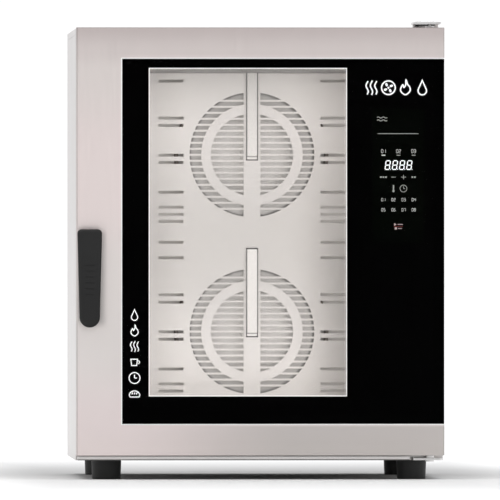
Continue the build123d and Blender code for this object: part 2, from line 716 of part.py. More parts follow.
def cable_gland():
    """Gland for the supply cable: body, lock nut inside and dome outside."""
    x, z = GLAND_AT
    gland = rod_y(x, z, GLAND_BODY_R, REAR - 10, REAR + 1)
    gland += plate(Pos(x, z) * RegularPolygon(15, 6), REAR, REAR + 8)
    gland += plate(Pos(x, z) * RegularPolygon(14, 6), REAR - SHEET - 5, REAR - SHEET)
    dome = Plane(origin=(x, behind(REAR + 8), z), z_dir=(0, 1, 0)) * Cylinder(12.5, 28)
    dome = fillet(dome.edges().filter_by(GeomType.CIRCLE).group_by(Axis.Y)[-1], 4)
    gland += dome & block(x - 20, x + 20, REAR + 8, REAR + 30, z - 20, z + 20)
    return gland - rod_y(x, z, GLAND_BORE_R, REAR - 20, REAR + 40)


def water_valve():
    """Solenoid inlet valve; its threaded inlet passes through the rear panel."""
    x, z = INLET_AT
    valve = rod_y(x, z, INLET_BODY_R, 800, INLET_END)
    valve += rod_y(x, z, INLET_R, SPIGOT_START, INLET_END)
    valve -= rod_y(x, z, INLET_BODY_R - 3, 830, INLET_END + 1)
    valve += rod_y(x, z, 19, REAR - SHEET - 8, REAR - SHEET)
    valve += block(x - 18, x + 18, 770, 800, z - 18, z + 18)
    valve += rod_z(x, 785, 14, z + 18, z + 62)
    valve += rod_y(x, z, 7, 740, 770)
    return valve


def cooling_fan_frame():
    """Square fan frame with four struts that hold the rotor's bearing boss."""
    x, z = COOLER_AT
    rear = REAR - SHEET
    frame = block(x - 60, x + 60, COOLER_FRONT, rear, z - 60, z + 60)
    frame = fillet(frame.edges().filter_by(Axis.Y), 5)
    frame -= rod_y(x, z, COOLER_R + 1, COOLER_FRONT - 1, rear + 1)
    struts = Pos(x, z) * (Circle(22) + Rectangle(2 * COOLER_R + 4, 6) + Rectangle(6, 2 * COOLER_R + 4))
    frame += plate(struts, COOLER_FRONT, COOLER_FRONT + 4)
    return frame - rod_y(x, z, 3.1, COOLER_FRONT - 1, COOLER_FRONT + 5)


def cooling_fan_rotor():
    x, z = COOLER_AT
    front = COOLER_FRONT + 5.0
    rear = REAR - SHEET - 4.0
    rotor = rod_y(x, z, 21, front, rear)
    rotor += rod_y(x, z, 3, COOLER_FRONT + 0.5, front)
    middle = behind((front + rear) / 2)
    for k in range(7):
        blade = Pos(36, 0, 0) * Rot(35, 0, 0) * Box(34, 32, 1.6)
        spin = Pos(x, middle, z) * Rot(0, 360 / 7 * k, 0)
        rotor += spin * blade
    limit = rod_y(x, z, COOLER_R - 3, COOLER_FRONT + 0.5, rear)
    return rotor & limit


nodes["power_board"] = power_board()
nodes["cable_gland"] = cable_gland()
nodes["water_valve"] = water_valve()
nodes["cooling_fan_frame"] = cooling_fan_frame()
nodes["cooling_fan_rotor"] = cooling_fan_rotor()

# ---------------------------------------------------------------- hinges and latch keeper
BRACKET_X = (HINGE_X - 32.4, HINGE_X + 23.6)
LOWER_BRACKET_X = (HINGE_X - 36.4, HINGE_X + 25.6)
LOWER_TAB_RIGHT = 346.0
UPPER_PLATE_Z = (941.2, 945.2)
LOWER_PLATE_Z = (39.6, 43.8)
UPPER_LIPS = ((320.0, 347.0, 937.0), (320.0, 327.0, 935.2), (353.0, 361.0, 937.0))
UPPER_PIN_TOP = 946.0
UPPER_SCREW_XS = (332.0, 360.0)
UPPER_SCREW_DEPTHS = (114.0, 138.0)
LOWER_SCREW_XS = (322.0, 338.0)
LOWER_SCREW_ZS = (70.0, 92.0)
HINGE_SCREW_R = 2.5
BRACKET_FACE = BODY_FRONT - 4.0
BUSH_R = 10.0
KEEPER_BOX = (-375.0, -334.0, 454.0, 522.0)
KEEPER_BACK = 104.0
ROLLER_OFFSET = 20.3


def upper_screw_holes(z0, z1):
    return [rod_z(x, depth, HINGE_SCREW_R, z0, z1)
            for x in UPPER_SCREW_XS for depth in UPPER_SCREW_DEPTHS]


def lower_screw_holes(d0, d1):
    return [rod_y(x, z, HINGE_SCREW_R, d0, d1) for x in LOWER_SCREW_XS for z in LOWER_SCREW_ZS]


def hinge_bracket_top():
    """Plate that reaches forward over the door, with a split front lip, screwed to the cover."""
    x0, x1 = BRACKET_X
    bracket = block(x0, x1, 8, 150, *UPPER_PLATE_Z)
    bracket = fillet(bracket.edges().filter_by(Axis.Z), 2)
    bracket += block(x0 + 2, x1 - 2, 104, 148, COVER_TOP, UPPER_PLATE_Z[0])
    for left, right, bottom in UPPER_LIPS:
        bracket += block(left, right, 8, 13, bottom, UPPER_PLATE_Z[0])
    bracket -= rod_z(HINGE_X, HINGE_DEPTH, PIN_R + SEAT, UPPER_PLATE_Z[0] - 1, UPPER_PLATE_Z[1] + 1)
    for hole in upper_screw_holes(COVER_TOP - 1, UPPER_PLATE_Z[1] + 1):
        bracket -= hole
    return bracket


def hinge_bracket_bottom():
    """Angle bracket on the face sheet; the door stands on its shelf."""
    x0, x1 = LOWER_BRACKET_X
    bracket = block(x0, x1, 5, BODY_FRONT, *LOWER_PLATE_Z)
    bracket = fillet(bracket.edges().filter_by(Axis.Z).group_by(Axis.Y)[0], 6)
    bracket += block(x0, LOWER_TAB_RIGHT, BRACKET_FACE, BODY_FRONT, LOWER_PLATE_Z[0], 102)
    bracket -= rod_z(HINGE_X, HINGE_DEPTH, PIN_R + SEAT, LOWER_PLATE_Z[0] - 1, LOWER_PLATE_Z[1] + 1)
    for hole in lower_screw_holes(BRACKET_FACE - 1, BODY_FRONT + 1):
        bracket -= hole
    return bracket


def hinge_pins():
    """Upper and lower pin, each with a thrust collar towards the door."""
    upper = rod_z(HINGE_X, HINGE_DEPTH, PIN_R, 908, UPPER_PIN_TOP)
    upper = chamfer(upper.edges().group_by(Axis.Z)[-1], 0.6)
    upper += rod_z(HINGE_X, HINGE_DEPTH, PIN_R + 3, DOOR_TOP + 0.3, UPPER_PLATE_Z[0])
    lower = rod_z(HINGE_X, HINGE_DEPTH, PIN_R, LOWER_PLATE_Z[0], 76)
    lower += rod_z(HINGE_X, HINGE_DEPTH, PIN_R + 3, LOWER_PLATE_Z[0] - 3, LOWER_PLATE_Z[0])
    lower += rod_z(HINGE_X, HINGE_DEPTH, PIN_R + 4, LOWER_PLATE_Z[1], DOOR_BOTTOM - 0.3)
    return group([upper, lower])


def hinge_screws():
    screws = []
    for x in UPPER_SCREW_XS:
        for depth in UPPER_SCREW_DEPTHS:
            head = rod_z(x, depth, 5, UPPER_PLATE_Z[1], UPPER_PLATE_Z[1] + 2.4)
            head = fillet(head.edges().group_by(Axis.Z)[-1], 1.5)
            screws.append(head + rod_z(x, depth, HINGE_SCREW_R, TONGUE_TOP, UPPER_PLATE_Z[1]))
    for x in LOWER_SCREW_XS:
        for z in LOWER_SCREW_ZS:
            head = rod_y(x, z, 5, BRACKET_FACE - 2.4, BRACKET_FACE)
            head = fillet(head.edges().group_by(Axis.Y)[0], 1.5)
            screws.append(head + rod_y(x, z, HINGE_SCREW_R, BRACKET_FACE, BASE_FRONT))
    return group(screws)


def latch_keeper():
    """Pressed box behind the face sheet that the latch bullet enters."""
    left, right, bottom, top = KEEPER_BOX
    keeper = block(left, right, BASE_FRONT, KEEPER_BACK, bottom, top)
    return keeper - block(left + 2, right - 2, BASE_FRONT - 1, KEEPER_BACK - 2, bottom + 2, top - 2)


def keeper_rollers():
    left, right = KEEPER_BOX[0] + 2, KEEPER_BOX[1] - 2
    rollers = []
    for rise in (-ROLLER_OFFSET, ROLLER_OFFSET):
        rollers.append(rod_x(84, HANDLE_PIVOT_Z + rise, 5, left, right))
    return group(rollers)


for hole in upper_screw_holes(TONGUE_TOP - 1, COVER_TOP + 1):
    nodes["top_cover"] -= hole
for hole in lower_screw_holes(BODY_FRONT - 1, BASE_FRONT + 1):
    nodes["front_frame"] -= hole
nodes["hinge_bracket_top"] = hinge_bracket_top()
nodes["hinge_bracket_bottom"] = hinge_bracket_bottom()
nodes["hinge_pins"] = hinge_pins()
nodes["hinge_screws"] = hinge_screws()
nodes["latch_keeper"] = latch_keeper()
nodes["keeper_rollers"] = keeper_rollers()

# ---------------------------------------------------------------- door
TRIM_WIDTH = 2.2
GLASS_RIGHT = HALF - 0.2
GLASS_BACK = 4.7
MASK_FRONT = 5.6
MASK_BACK = 7.2
LEDGE_BACK = MASK_BACK + SHEET
LEDGE = (-272.0, 364.0, 131.0, 855.5)
TUNNEL = (-240.0, 190.0, 160.0, 860.0)
TUNNEL_WALL = 3.0
INNER_GLASS = (-252.0, 202.0, 148.0, 872.0)
INNER_GLASS_FRONT = 52.0
PANEL_FRONT = 57.0
PANEL_STEP = (-350.0, 343.0, 105.0, 872.0)
CONTROLS = (214.0, 354.0, 470.0, 786.0)
DISPLAY = (246.0, 322.0, 630.0, 670.0)
GLASS_OPENING = (GLASS_LEFT, HALF + 1, GLASS_BOTTOM, GLASS_TOP)


def door_plan():
    """Door seen from above, with its hinge-side rear edge cut off."""
    corners = [(-HALF, 0), (HALF, 0), (HALF, CHAMFER_DEPTH),
               (CHAMFER_X, PANEL_FRONT), (-HALF, PANEL_FRONT)]
    outline = Polyline([(x, behind(depth)) for x, depth in corners], close=True)
    return make_face(outline)


def door_frame():
    """Folded door shell: front sheet, four sides and a ledge that carries the glass."""
    plan = door_plan()
    height = DOOR_TOP - DOOR_BOTTOM
    shell = extrude(Plane.XY.offset(DOOR_BOTTOM) * plan, amount=height)
    shell = fillet(shell.edges().filter_by(Axis.Z).group_by(Axis.Y)[0].sort_by(Axis.X)[0], 3)
    hollow = offset(plan, amount=-SHEET, kind=Kind.INTERSECTION)
    shell -= extrude(Plane.XY.offset(DOOR_BOTTOM + SHEET) * hollow, amount=height - 2 * SHEET)
    shell -= block(-HALF + SHEET, CHAMFER_X - 3, PANEL_FRONT - 5, PANEL_FRONT + 1,
                   DOOR_BOTTOM + SHEET, DOOR_TOP - SHEET)
    shell -= plate(rectangle(*GLASS_OPENING), -1, SHEET + 0.1)
    shell -= block(HALF - SHEET - 0.1, HALF + 1, -1, MASK_BACK, GLASS_BOTTOM, GLASS_TOP)
    left, right, bottom, top = GLASS_OPENING
    around = (left - SHEET, HALF - SHEET, bottom - SHEET, top + SHEET)
    shell += plate(rectangle(*around) - rectangle(*LEDGE), MASK_BACK, LEDGE_BACK)
    shell += plate(rectangle(*around) - rectangle(*GLASS_OPENING), SHEET / 2, MASK_BACK)
    shell -= rod_y(HANDLE_X, HANDLE_PIVOT_Z, 13 + SEAT, -1, SHEET + 1)
    for z in (DOOR_BOTTOM, DOOR_TOP):
        shell -= rod_z(HINGE_X, HINGE_DEPTH, BUSH_R + SEAT, z - 2, z + 2)
    return shell


def glass_edge_trim():
    """Bright strip around the glass on its top, left and bottom edges."""
    outer = rectangle(GLASS_LEFT + 0.1, GLASS_RIGHT, GLASS_BOTTOM + 0.1, GLASS_TOP - 0.1)
    edge = TRIM_WIDTH + 0.1
    inner = rectangle(GLASS_LEFT + edge, HALF + 5, GLASS_BOTTOM + edge, GLASS_TOP - edge)
    return plate(outer - inner, -0.2, MASK_FRONT)


def outer_glass():
    edge = TRIM_WIDTH + 0.2
    pane = plate(rectangle(GLASS_LEFT + edge, GLASS_RIGHT, GLASS_BOTTOM + edge, GLASS_TOP - edge),
                 0.2, GLASS_BACK)
    return chamfer(pane.edges().group_by(Axis.Y)[0], 0.4)


def glass_mask():
    """Black layer behind the outer pane, open at the window."""
    outline = rectangle(GLASS_LEFT + 0.4, GLASS_RIGHT, GLASS_BOTTOM + 0.4, GLASS_TOP - 0.4)
    return plate(outline - rectangle(*WINDOW), MASK_FRONT, MASK_BACK)


def inner_glass_clips():
    clips = []
    left, right = INNER_GLASS[0], INNER_GLASS[1]
    for z in (210.0, 510.0, 810.0):
        clip = block(right + 0.5, right + 10, 50, PANEL_FRONT, z - 15, z + 15)
        clip += block(right - 7, right + 1, 50, INNER_GLASS_FRONT, z - 15, z + 15)
        clips.append(clip)
        clip = block(left - 10, left - 0.5, 50, PANEL_FRONT, z - 15, z + 15)
        clip += block(left - 1, left + 7, 50, INNER_GLASS_FRONT, z - 15, z + 15)
        clips.append(clip)
    return group(clips)


def door_inner_panel():
    """Rear sheet of the door, raised where the gasket meets it and open at the window."""
    rim = rectangle(-HALF + 1, CHAMFER_X - 1, DOOR_BOTTOM + 1, DOOR_TOP - 1)
    panel = plate(rim, PANEL_FRONT, PANEL_FRONT + SHEET)
    step = plate(rectangle(*PANEL_STEP), PANEL_FRONT + SHEET - 0.5, DOOR_BACK)
    step = fillet(step.edges().filter_by(Axis.Y), 14)
    panel += chamfer(step.edges().group_by(Axis.Y)[-1], 1.0)
    left, right, bottom, top = TUNNEL
    opening = Pos((left + right) / 2, (bottom + top) / 2) * RectangleRounded(
        right - left, top - bottom, 8)
    panel -= plate(opening, PANEL_FRONT - 1, DOOR_BACK + 1)
    return panel - rod_y(HANDLE_X, HANDLE_PIVOT_Z, SPINDLE_R + 1.5, PANEL_FRONT - 1, DOOR_BACK + 1)


def touch_board():
    board = plate(rectangle(*grown(CONTROLS, -8)), MASK_BACK + 0.2, MASK_BACK + 1.8)
    for k in range(4):
        for j in range(2):
            x = 244 + 24 * k
            z = 532 + 22 * j
            board += block(x - 4, x + 4, MASK_BACK + 1.8, MASK_BACK + 4, z - 4, z + 4)
    return board


def display_module():
    return plate(rectangle(*DISPLAY), MASK_BACK + 1.8, MASK_BACK + 9)


def electronics_cover():
    cover = plate(rectangle(*CONTROLS), MASK_BACK, 40)
    cover = fillet(cover.edges().group_by(Axis.Y)[-1], 5)
    return cover - plate(rectangle(*grown(CONTROLS, -2)), MASK_BACK - 1, 38)


def led_strips():
    """Light bars inside the glass tunnel, hidden behind the black layer's edge."""
    left, right, bottom, top = TUNNEL
    strips = []
    for x0, x1 in ((left + 0.2, left + 6), (right - 6, right - 0.2)):
        strips.append(block(x0, x1, 20, 40, bottom + 20, top - 20))
    return group(strips)


def handle_bush():
    bush = rod_y(HANDLE_X, HANDLE_PIVOT_Z, 18, -3, 0)
    bush += rod_y(HANDLE_X, HANDLE_PIVOT_Z, 13, 0, 16)
    return bush - rod_y(HANDLE_X, HANDLE_PIVOT_Z, SPINDLE_R + PIN_CLEARANCE, -4, 17)


def hinge_bushes():
    """Bearing sleeves in the door's upper and lower edge."""
    upper = rod_z(HINGE_X, HINGE_DEPTH, BUSH_R + 3, 904, DOOR_TOP - SHEET)
    upper += rod_z(HINGE_X, HINGE_DEPTH, BUSH_R, DOOR_TOP - SHEET, DOOR_TOP)
    upper -= rod_z(HINGE_X, HINGE_DEPTH, PIN_R + PIN_CLEARANCE, 907, DOOR_TOP + 1)
    lower = rod_z(HINGE_X, HINGE_DEPTH, BUSH_R + 3, DOOR_BOTTOM + SHEET, 80)
    lower += rod_z(HINGE_X, HINGE_DEPTH, BUSH_R, DOOR_BOTTOM, DOOR_BOTTOM + SHEET)
    lower -= rod_z(HINGE_X, HINGE_DEPTH, PIN_R + PIN_CLEARANCE, DOOR_BOTTOM - 1, 77)
    return group([upper, lower])


nodes["door_frame"] = door_frame()
nodes["glass_edge_trim"] = glass_edge_trim()
nodes["outer_glass"] = outer_glass()
nodes["glass_mask"] = glass_mask()
nodes["window_spacer"] = ring(grown(TUNNEL, TUNNEL_WALL), TUNNEL, LEDGE_BACK, INNER_GLASS_FRONT)
nodes["inner_glass"] = plate(rectangle(*INNER_GLASS), INNER_GLASS_FRONT, PANEL_FRONT)
nodes["inner_glass_clips"] = inner_glass_clips()
nodes["door_inner_panel"] = door_inner_panel()
nodes["touch_board"] = touch_board()
nodes["display_module"] = display_module()
nodes["electronics_cover"] = electronics_cover()
nodes["led_strips"] = led_strips()
nodes["handle_bush"] = handle_bush()
nodes["hinge_bushes"] = hinge_bushes()

# ---------------------------------------------------------------- handle
HANDLE_BACK = HANDLE_REACH - HANDLE_GAP
HANDLE_CORNER_R = 9.0


def handle_lever():
    """Tapering lever with a round lower end, on a hub at its wide upper end."""
    inset = HANDLE_TOP_HALF - HANDLE_CORNER_R
    corner_z = HANDLE_TOP - HANDLE_CORNER_R
    circles = [Pos(HANDLE_X - inset, corner_z) * Circle(HANDLE_CORNER_R),
               Pos(HANDLE_X + inset, corner_z) * Circle(HANDLE_CORNER_R),
               Pos(HANDLE_X, HANDLE_BOTTOM + HANDLE_END_R) * Circle(HANDLE_END_R)]
    edges = [edge for circle in circles for edge in circle.edges()]
    lever = plate(make_hull(edges), -HANDLE_REACH, -HANDLE_GAP)
    lever = fillet(lever.edges().group_by(Axis.Y)[0], 6)
    lever = fillet(lever.edges().group_by(Axis.Y)[-1], 4)
    for k in range(6):
        z = 380 + 12 * k
        lever -= block(HANDLE_X - 9, HANDLE_X + 9, -HANDLE_REACH - 1, -HANDLE_REACH + 0.8, z, z + 3)
    lever += rod_y(HANDLE_X, HANDLE_PIVOT_Z, 20, -HANDLE_GAP, -3.3)
    return lever - rod_y(HANDLE_X, HANDLE_PIVOT_Z, SPINDLE_R, -HANDLE_REACH + 12, 0)


def latch_bullet():
    """Tapered latch head on the spindle's inner end."""
    head = rod_y(HANDLE_X, HANDLE_PIVOT_Z, BULLET_R, 62, 76)
    cone = Plane(origin=(HANDLE_X, behind(82), HANDLE_PIVOT_Z), z_dir=(0, 1, 0))
    head += cone * Cone(BULLET_R, 8, 12)
    return head - rod_y(HANDLE_X, HANDLE_PIVOT_Z, SPINDLE_R, 61, 72)


nodes["handle_lever"] = handle_lever()
nodes["handle_spindle"] = rod_y(HANDLE_X, HANDLE_PIVOT_Z, SPINDLE_R, -HANDLE_REACH + 12, 72)
nodes["latch_bullet"] = latch_bullet()

# ---------------------------------------------------------------- one STEP file for each node
for name, shape in nodes.items():
    export_step(shape, f"parts/{name}.step")
print(len(nodes), "nodes")
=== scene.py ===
"""Looks of the combi steamer oven: materials, door print, floor, light and camera."""
import json
import math

import bmesh
import bpy
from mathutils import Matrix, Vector


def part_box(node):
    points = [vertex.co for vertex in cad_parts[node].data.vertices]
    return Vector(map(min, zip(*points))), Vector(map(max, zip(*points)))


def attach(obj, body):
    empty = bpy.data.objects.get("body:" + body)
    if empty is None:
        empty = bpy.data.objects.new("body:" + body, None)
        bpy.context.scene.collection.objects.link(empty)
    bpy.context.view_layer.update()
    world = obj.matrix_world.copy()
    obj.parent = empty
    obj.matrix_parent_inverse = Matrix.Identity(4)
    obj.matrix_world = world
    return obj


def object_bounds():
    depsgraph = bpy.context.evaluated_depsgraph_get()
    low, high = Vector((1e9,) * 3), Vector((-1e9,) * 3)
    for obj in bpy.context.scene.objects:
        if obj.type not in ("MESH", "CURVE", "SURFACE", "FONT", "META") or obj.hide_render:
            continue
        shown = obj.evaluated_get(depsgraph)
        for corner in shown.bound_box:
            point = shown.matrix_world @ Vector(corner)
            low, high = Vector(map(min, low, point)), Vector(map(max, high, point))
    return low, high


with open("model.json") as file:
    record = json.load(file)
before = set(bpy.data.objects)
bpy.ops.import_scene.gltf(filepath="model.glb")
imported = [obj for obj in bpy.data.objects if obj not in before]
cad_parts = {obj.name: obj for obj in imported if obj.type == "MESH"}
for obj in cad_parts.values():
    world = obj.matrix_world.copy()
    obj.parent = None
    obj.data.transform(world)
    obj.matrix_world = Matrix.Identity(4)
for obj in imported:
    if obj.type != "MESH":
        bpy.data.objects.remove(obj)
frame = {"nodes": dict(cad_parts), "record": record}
cad_low, cad_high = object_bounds()

MM = 0.001
scene = bpy.context.scene
nodes = frame["nodes"]

# ---------------------------------------------------------------- places taken from the frame
DOOR_LOW, DOOR_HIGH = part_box("door_frame")
MASK_LOW, MASK_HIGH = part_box("glass_mask")
GLASS_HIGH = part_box("outer_glass")[1]
LINER_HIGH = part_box("cavity_liner")[1]
BAFFLE_LOW, BAFFLE_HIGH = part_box("fan_baffle")
COVER_LOW, COVER_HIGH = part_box("tube_covers")
GUTTER_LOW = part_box("drip_gutter")[0]
BRACKET_LOW, BRACKET_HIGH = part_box("hinge_bracket_top")
HANDLE_LOW, HANDLE_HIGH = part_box("handle_lever")
BOARD_LOW, BOARD_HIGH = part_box("touch_board")
FRONT_Y = DOOR_LOW.y
OVEN_MIDDLE_Z = (BAFFLE_LOW.z + BAFFLE_HIGH.z) / 2
COVER_GAP_Z = OVEN_MIDDLE_Z + 50 * MM        # a height between the lower and the upper cover
cover_heights = [vertex.co.z for vertex in nodes["tube_covers"].data.vertices]
COVER_FEET = (COVER_LOW.z, min(z for z in cover_heights if z > COVER_GAP_Z))
LOWER_COVER_TOP = max(z for z in cover_heights if z < COVER_GAP_Z)
PRINT_Y = (GLASS_HIGH.y + MASK_LOW.y) / 2    # the print lies between the glass and its black layer
PRINT_THICK = 0.2 * MM

# ---------------------------------------------------------------- tones
PAINTED_EDGE_WIDTH = 1.6 * MM    # width of the painted dark reflection along the door's edge, where its sheet bends back
DOOR_LIGHT_AND_SHADE = (          # painted light and shade up the door: share of the door's height, then red, green and blue
    (0.0, 0.95, 0.95, 0.95), (0.08, 0.93, 0.93, 0.94), (0.25, 0.88, 0.93, 0.925),
    (0.43, 0.94, 0.99, 0.98), (0.58, 0.985, 0.985, 0.985), (0.72, 1.0, 1.0, 1.0),
    (0.90, 0.935, 0.97, 0.96), (0.945, 0.865, 0.885, 0.88), (1.0, 0.74, 0.74, 0.74),
)
LINER_TONES = ((0.84, 0.82, 0.80), (0.88, 0.865, 0.85))
GLASS_TINT = (0.993, 0.992, 0.987)
WHITE_TONE = (1.0, 1.0, 1.0)


# ---------------------------------------------------------------- shader helpers
def new_material(name):
    material = bpy.data.materials.new(name)
    material.use_nodes = True
    tree = material.node_tree
    shader = tree.nodes["Principled BSDF"]
    return material, tree, shader


def add(tree, kind, **settings):
    node = tree.nodes.new(kind)
    for key, value in settings.items():
        setattr(node, key, value)
    return node


def coordinates(tree, scale):
    """Object coordinates, in metres, stretched by scale."""
    source = add(tree, "ShaderNodeTexCoord")
    mapping = add(tree, "ShaderNodeMapping")
    mapping.inputs["Scale"].default_value = scale
    tree.links.new(source.outputs["Object"], mapping.inputs["Vector"])
    return mapping.outputs["Vector"]


def noise(tree, scale, detail=3.0, roughness=0.5, stretch=(1, 1, 1)):
    """Noise fixed to the object, mostly between 0.25 and 0.75."""
    texture = add(tree, "ShaderNodeTexNoise")
    texture.inputs["Scale"].default_value = scale
    texture.inputs["Detail"].default_value = detail
    texture.inputs["Roughness"].default_value = roughness
    tree.links.new(coordinates(tree, stretch), texture.inputs["Vector"])
    return texture.outputs["Fac"]


def spread(tree, value, low, high):
    """Noise value moved to low..high."""
    remap = add(tree, "ShaderNodeMapRange")
    remap.inputs["From Min"].default_value = 0.25
    remap.inputs["From Max"].default_value = 0.75
    remap.inputs["To Min"].default_value = low
    remap.inputs["To Max"].default_value = high
    tree.links.new(value, remap.inputs["Value"])
    return remap.outputs["Result"]


def put(tree, socket, value):
    """Link an output to the socket, or set a plain number or colour on it."""
    if isinstance(value, bpy.types.NodeSocket):
        tree.links.new(value, socket)
    else:
        socket.default_value = (*value, 1) if isinstance(value, tuple) else value


def blend_colours(tree, factor, first, second):
    mix = add(tree, "ShaderNodeMix", data_type="RGBA")
    put(tree, mix.inputs[6], first)
    put(tree, mix.inputs[7], second)
    put(tree, mix.inputs[0], factor)
    return mix.outputs[2]


def place(tree):
    """X, Y and Z of the surface point at rest, in metres."""
    split = add(tree, "ShaderNodeSeparateXYZ")
    tree.links.new(coordinates(tree, (1, 1, 1)), split.inputs[0])
    return split.outputs


def maths(tree, operation, first, second=0.0):
    """One sum on numbers or sockets."""
    node = add(tree, "ShaderNodeMath", operation=operation)
    put(tree, node.inputs[0], first)
    put(tree, node.inputs[1], second)
    return node.outputs[0]


def ramp(tree, value, start, end, low=0.0, high=1.0):
    """Smooth step of value from start to end, going from low to high."""
    remap = add(tree, "ShaderNodeMapRange", interpolation_type="SMOOTHSTEP")
    remap.inputs["From Min"].default_value = start
    remap.inputs["From Max"].default_value = end
    remap.inputs["To Min"].default_value = low
    remap.inputs["To Max"].default_value = high
    put(tree, remap.inputs["Value"], value)
    return remap.outputs["Result"]


def product(tree, first, second):
    return maths(tree, "MULTIPLY", first, second)


def one_minus(tree, value):
    return maths(tree, "SUBTRACT", 1.0, value)


def distance(tree, first, second):
    """Length of the hypotenuse over two legs."""
    squares = [maths(tree, "POWER", leg, 2.0) for leg in (first, second)]
    return maths(tree, "SQRT", maths(tree, "ADD", *squares))


def within(tree, value, low, high, soft):
    """1 between low and high, 0 outside, with soft edges."""
    rise = ramp(tree, value, low - soft, low + soft)
    fall = ramp(tree, value, high - soft, high + soft, 1.0, 0.0)
    return product(tree, rise, fall)


def outside(tree, value, low, high):
    """How far value lies outside low..high."""
    below = maths(tree, "SUBTRACT", low, value)
    above = maths(tree, "SUBTRACT", value, high)
    return maths(tree, "MAXIMUM", maths(tree, "MAXIMUM", below, above), 0.0)


def bump(tree, height, strength, depth, bevel_radius=0.0):
    """Normal for a fine texture, over edges rounded by bevel_radius."""
    node = add(tree, "ShaderNodeBump")
    node.inputs["Strength"].default_value = strength
    node.inputs["Distance"].default_value = depth
    tree.links.new(height, node.inputs["Height"])
    if bevel_radius:
        bevel = add(tree, "ShaderNodeBevel", samples=4)
        bevel.inputs["Radius"].default_value = bevel_radius
        tree.links.new(bevel.outputs["Normal"], node.inputs["Normal"])
    return node.outputs["Normal"]


# ---------------------------------------------------------------- materials
ALONG_GRAIN = 0.012     # scale of the scratches along the grain, with 1 across it


def brushed_steel(name, first, second, rough, grain_axis, grain=900.0, bevel=0.8 * MM, depth=0.02):
    """Satin steel: fine scratches along one axis over soft clouds of tone."""
    material, tree, shader = new_material(name)
    stretch = [1.0, 1.0, 1.0]
    stretch["XYZ".index(grain_axis)] = ALONG_GRAIN
    scratches = noise(tree, grain, 4.0, 0.6, stretch)
    clouds = noise(tree, 3.0, 4.0, 0.55)
    tree.links.new(blend_colours(tree, spread(tree, clouds, 0.0, 1.0), first, second),
                   shader.inputs["Base Color"])
    tree.links.new(spread(tree, scratches, rough[0], rough[1]), shader.inputs["Roughness"])
    shader.inputs["Metallic"].default_value = 1.0
    tree.links.new(bump(tree, scratches, depth, 0.1 * MM, bevel), shader.inputs["Normal"])
    return material


def tone_curve(tree, value, stops):
    """Colour off a smooth curve through (place from 0 to 1, red, green, blue) stops."""
    curve = add(tree, "ShaderNodeValToRGB")
    curve.color_ramp.interpolation = "EASE"
    for k, (where, *tone) in enumerate(stops):
        if k >= 2:
            stop = curve.color_ramp.elements.new(where)
        else:
            stop = curve.color_ramp.elements[k]
            stop.position = where
        stop.color = (*tone, 1)
    put(tree, curve.inputs[0], value)
    return curve.outputs["Color"]


def tint(tree, material, shade):
    """Multiply the material's base colour by a shade worked out from the place on the object."""
    socket = tree.nodes["Principled BSDF"].inputs["Base Color"]
    mix = add(tree, "ShaderNodeMix", data_type="RGBA", blend_type="MULTIPLY")
    mix.inputs[0].default_value = 1.0
    tree.links.new(socket.links[0].from_socket, mix.inputs[6])
    put(tree, mix.inputs[7], shade)
    tree.links.new(mix.outputs[2], socket)
    return material


def door_steel():
    """Warm satin sheet with painted light and shade: lightest above its middle, darker along the
    top and the lower right, with a painted dark reflection round its edge and a painted soft
    shadow beside the handle."""
    material = brushed_steel("door_steel", (0.90, 0.795, 0.775), (0.935, 0.83, 0.81), (0.30, 0.40),
                             "Z")
    tree = material.node_tree
    x, _, z = place(tree)
    above_foot = maths(tree, "SUBTRACT", z, DOOR_LOW.z)
    height = maths(tree, "DIVIDE", above_foot, DOOR_HIGH.z - DOOR_LOW.z)
    # painted light and shade up the door's height
    painted_height_light = tone_curve(tree, height, DOOR_LIGHT_AND_SHADE)
    # painted shade at the lower right, below the glass
    below_glass = ramp(tree, z, MASK_LOW.z - 5 * MM, MASK_LOW.z + 1 * MM, 1.0, 0.0)
    to_right = ramp(tree, x, DOOR_LOW.x + 72 * MM, DOOR_LOW.x + 462 * MM)
    lower_right = product(tree, below_glass, to_right)
    corner = blend_colours(tree, lower_right, WHITE_TONE, (0.715, 0.75, 0.735))
    # painted dark reflection along the door's outline
    past_sides = outside(tree, x, DOOR_LOW.x + 2 * PAINTED_EDGE_WIDTH, DOOR_HIGH.x - PAINTED_EDGE_WIDTH)
    past_top = outside(tree, z, DOOR_LOW.z, DOOR_HIGH.z - PAINTED_EDGE_WIDTH)
    beyond = maths(tree, "ADD", past_sides, past_top)
    edge = ramp(tree, beyond, 0.0, 0.5 * PAINTED_EDGE_WIDTH, 1.0, 0.62)
    fading = ramp(tree, x, HANDLE_HIGH.x - 2 * MM, HANDLE_HIGH.x + 15 * MM, 0.28, 0.0)
    beside = within(tree, z, HANDLE_LOW.z + 5 * MM, HANDLE_HIGH.z - 5 * MM, 10 * MM)
    right_half = ramp(tree, x, HANDLE_HIGH.x - 20 * MM, HANDLE_HIGH.x - 10 * MM)
    handle_shade = one_minus(tree, product(tree, product(tree, fading, beside), right_half))
    for shade in (painted_height_light, corner, edge, handle_shade):
        tint(tree, material, shade)
    return material


def baffle_steel():
    """Fan baffle: the brightest sheet inside, with painted shade across its middle, towards its
    left edge and most of all at its right.
    """
    material = brushed_steel("baffle_steel", (0.93, 0.90, 0.88), (0.96, 0.93, 0.915), (0.28, 0.38),
                             "X")
    tree = material.node_tree
    x, _, z = place(tree)
    # painted shade across the middle and towards the left edge
    from_middle = maths(tree, "ABSOLUTE", maths(tree, "SUBTRACT", z, OVEN_MIDDLE_Z))
    tint(tree, material, ramp(tree, from_middle, 20 * MM, 300 * MM, 0.78, 1.0))
    tint(tree, material, ramp(tree, x, -215 * MM, -130 * MM, 0.86, 1.0))
    # painted shade at the right, strongest low down
    to_right = ramp(tree, x, 75 * MM, 210 * MM)
    painted_right_shade = product(tree, to_right, ramp(tree, z, 250 * MM, 700 * MM, 0.44, 0.26))
    return tint(tree, material, one_minus(tree, painted_right_shade))


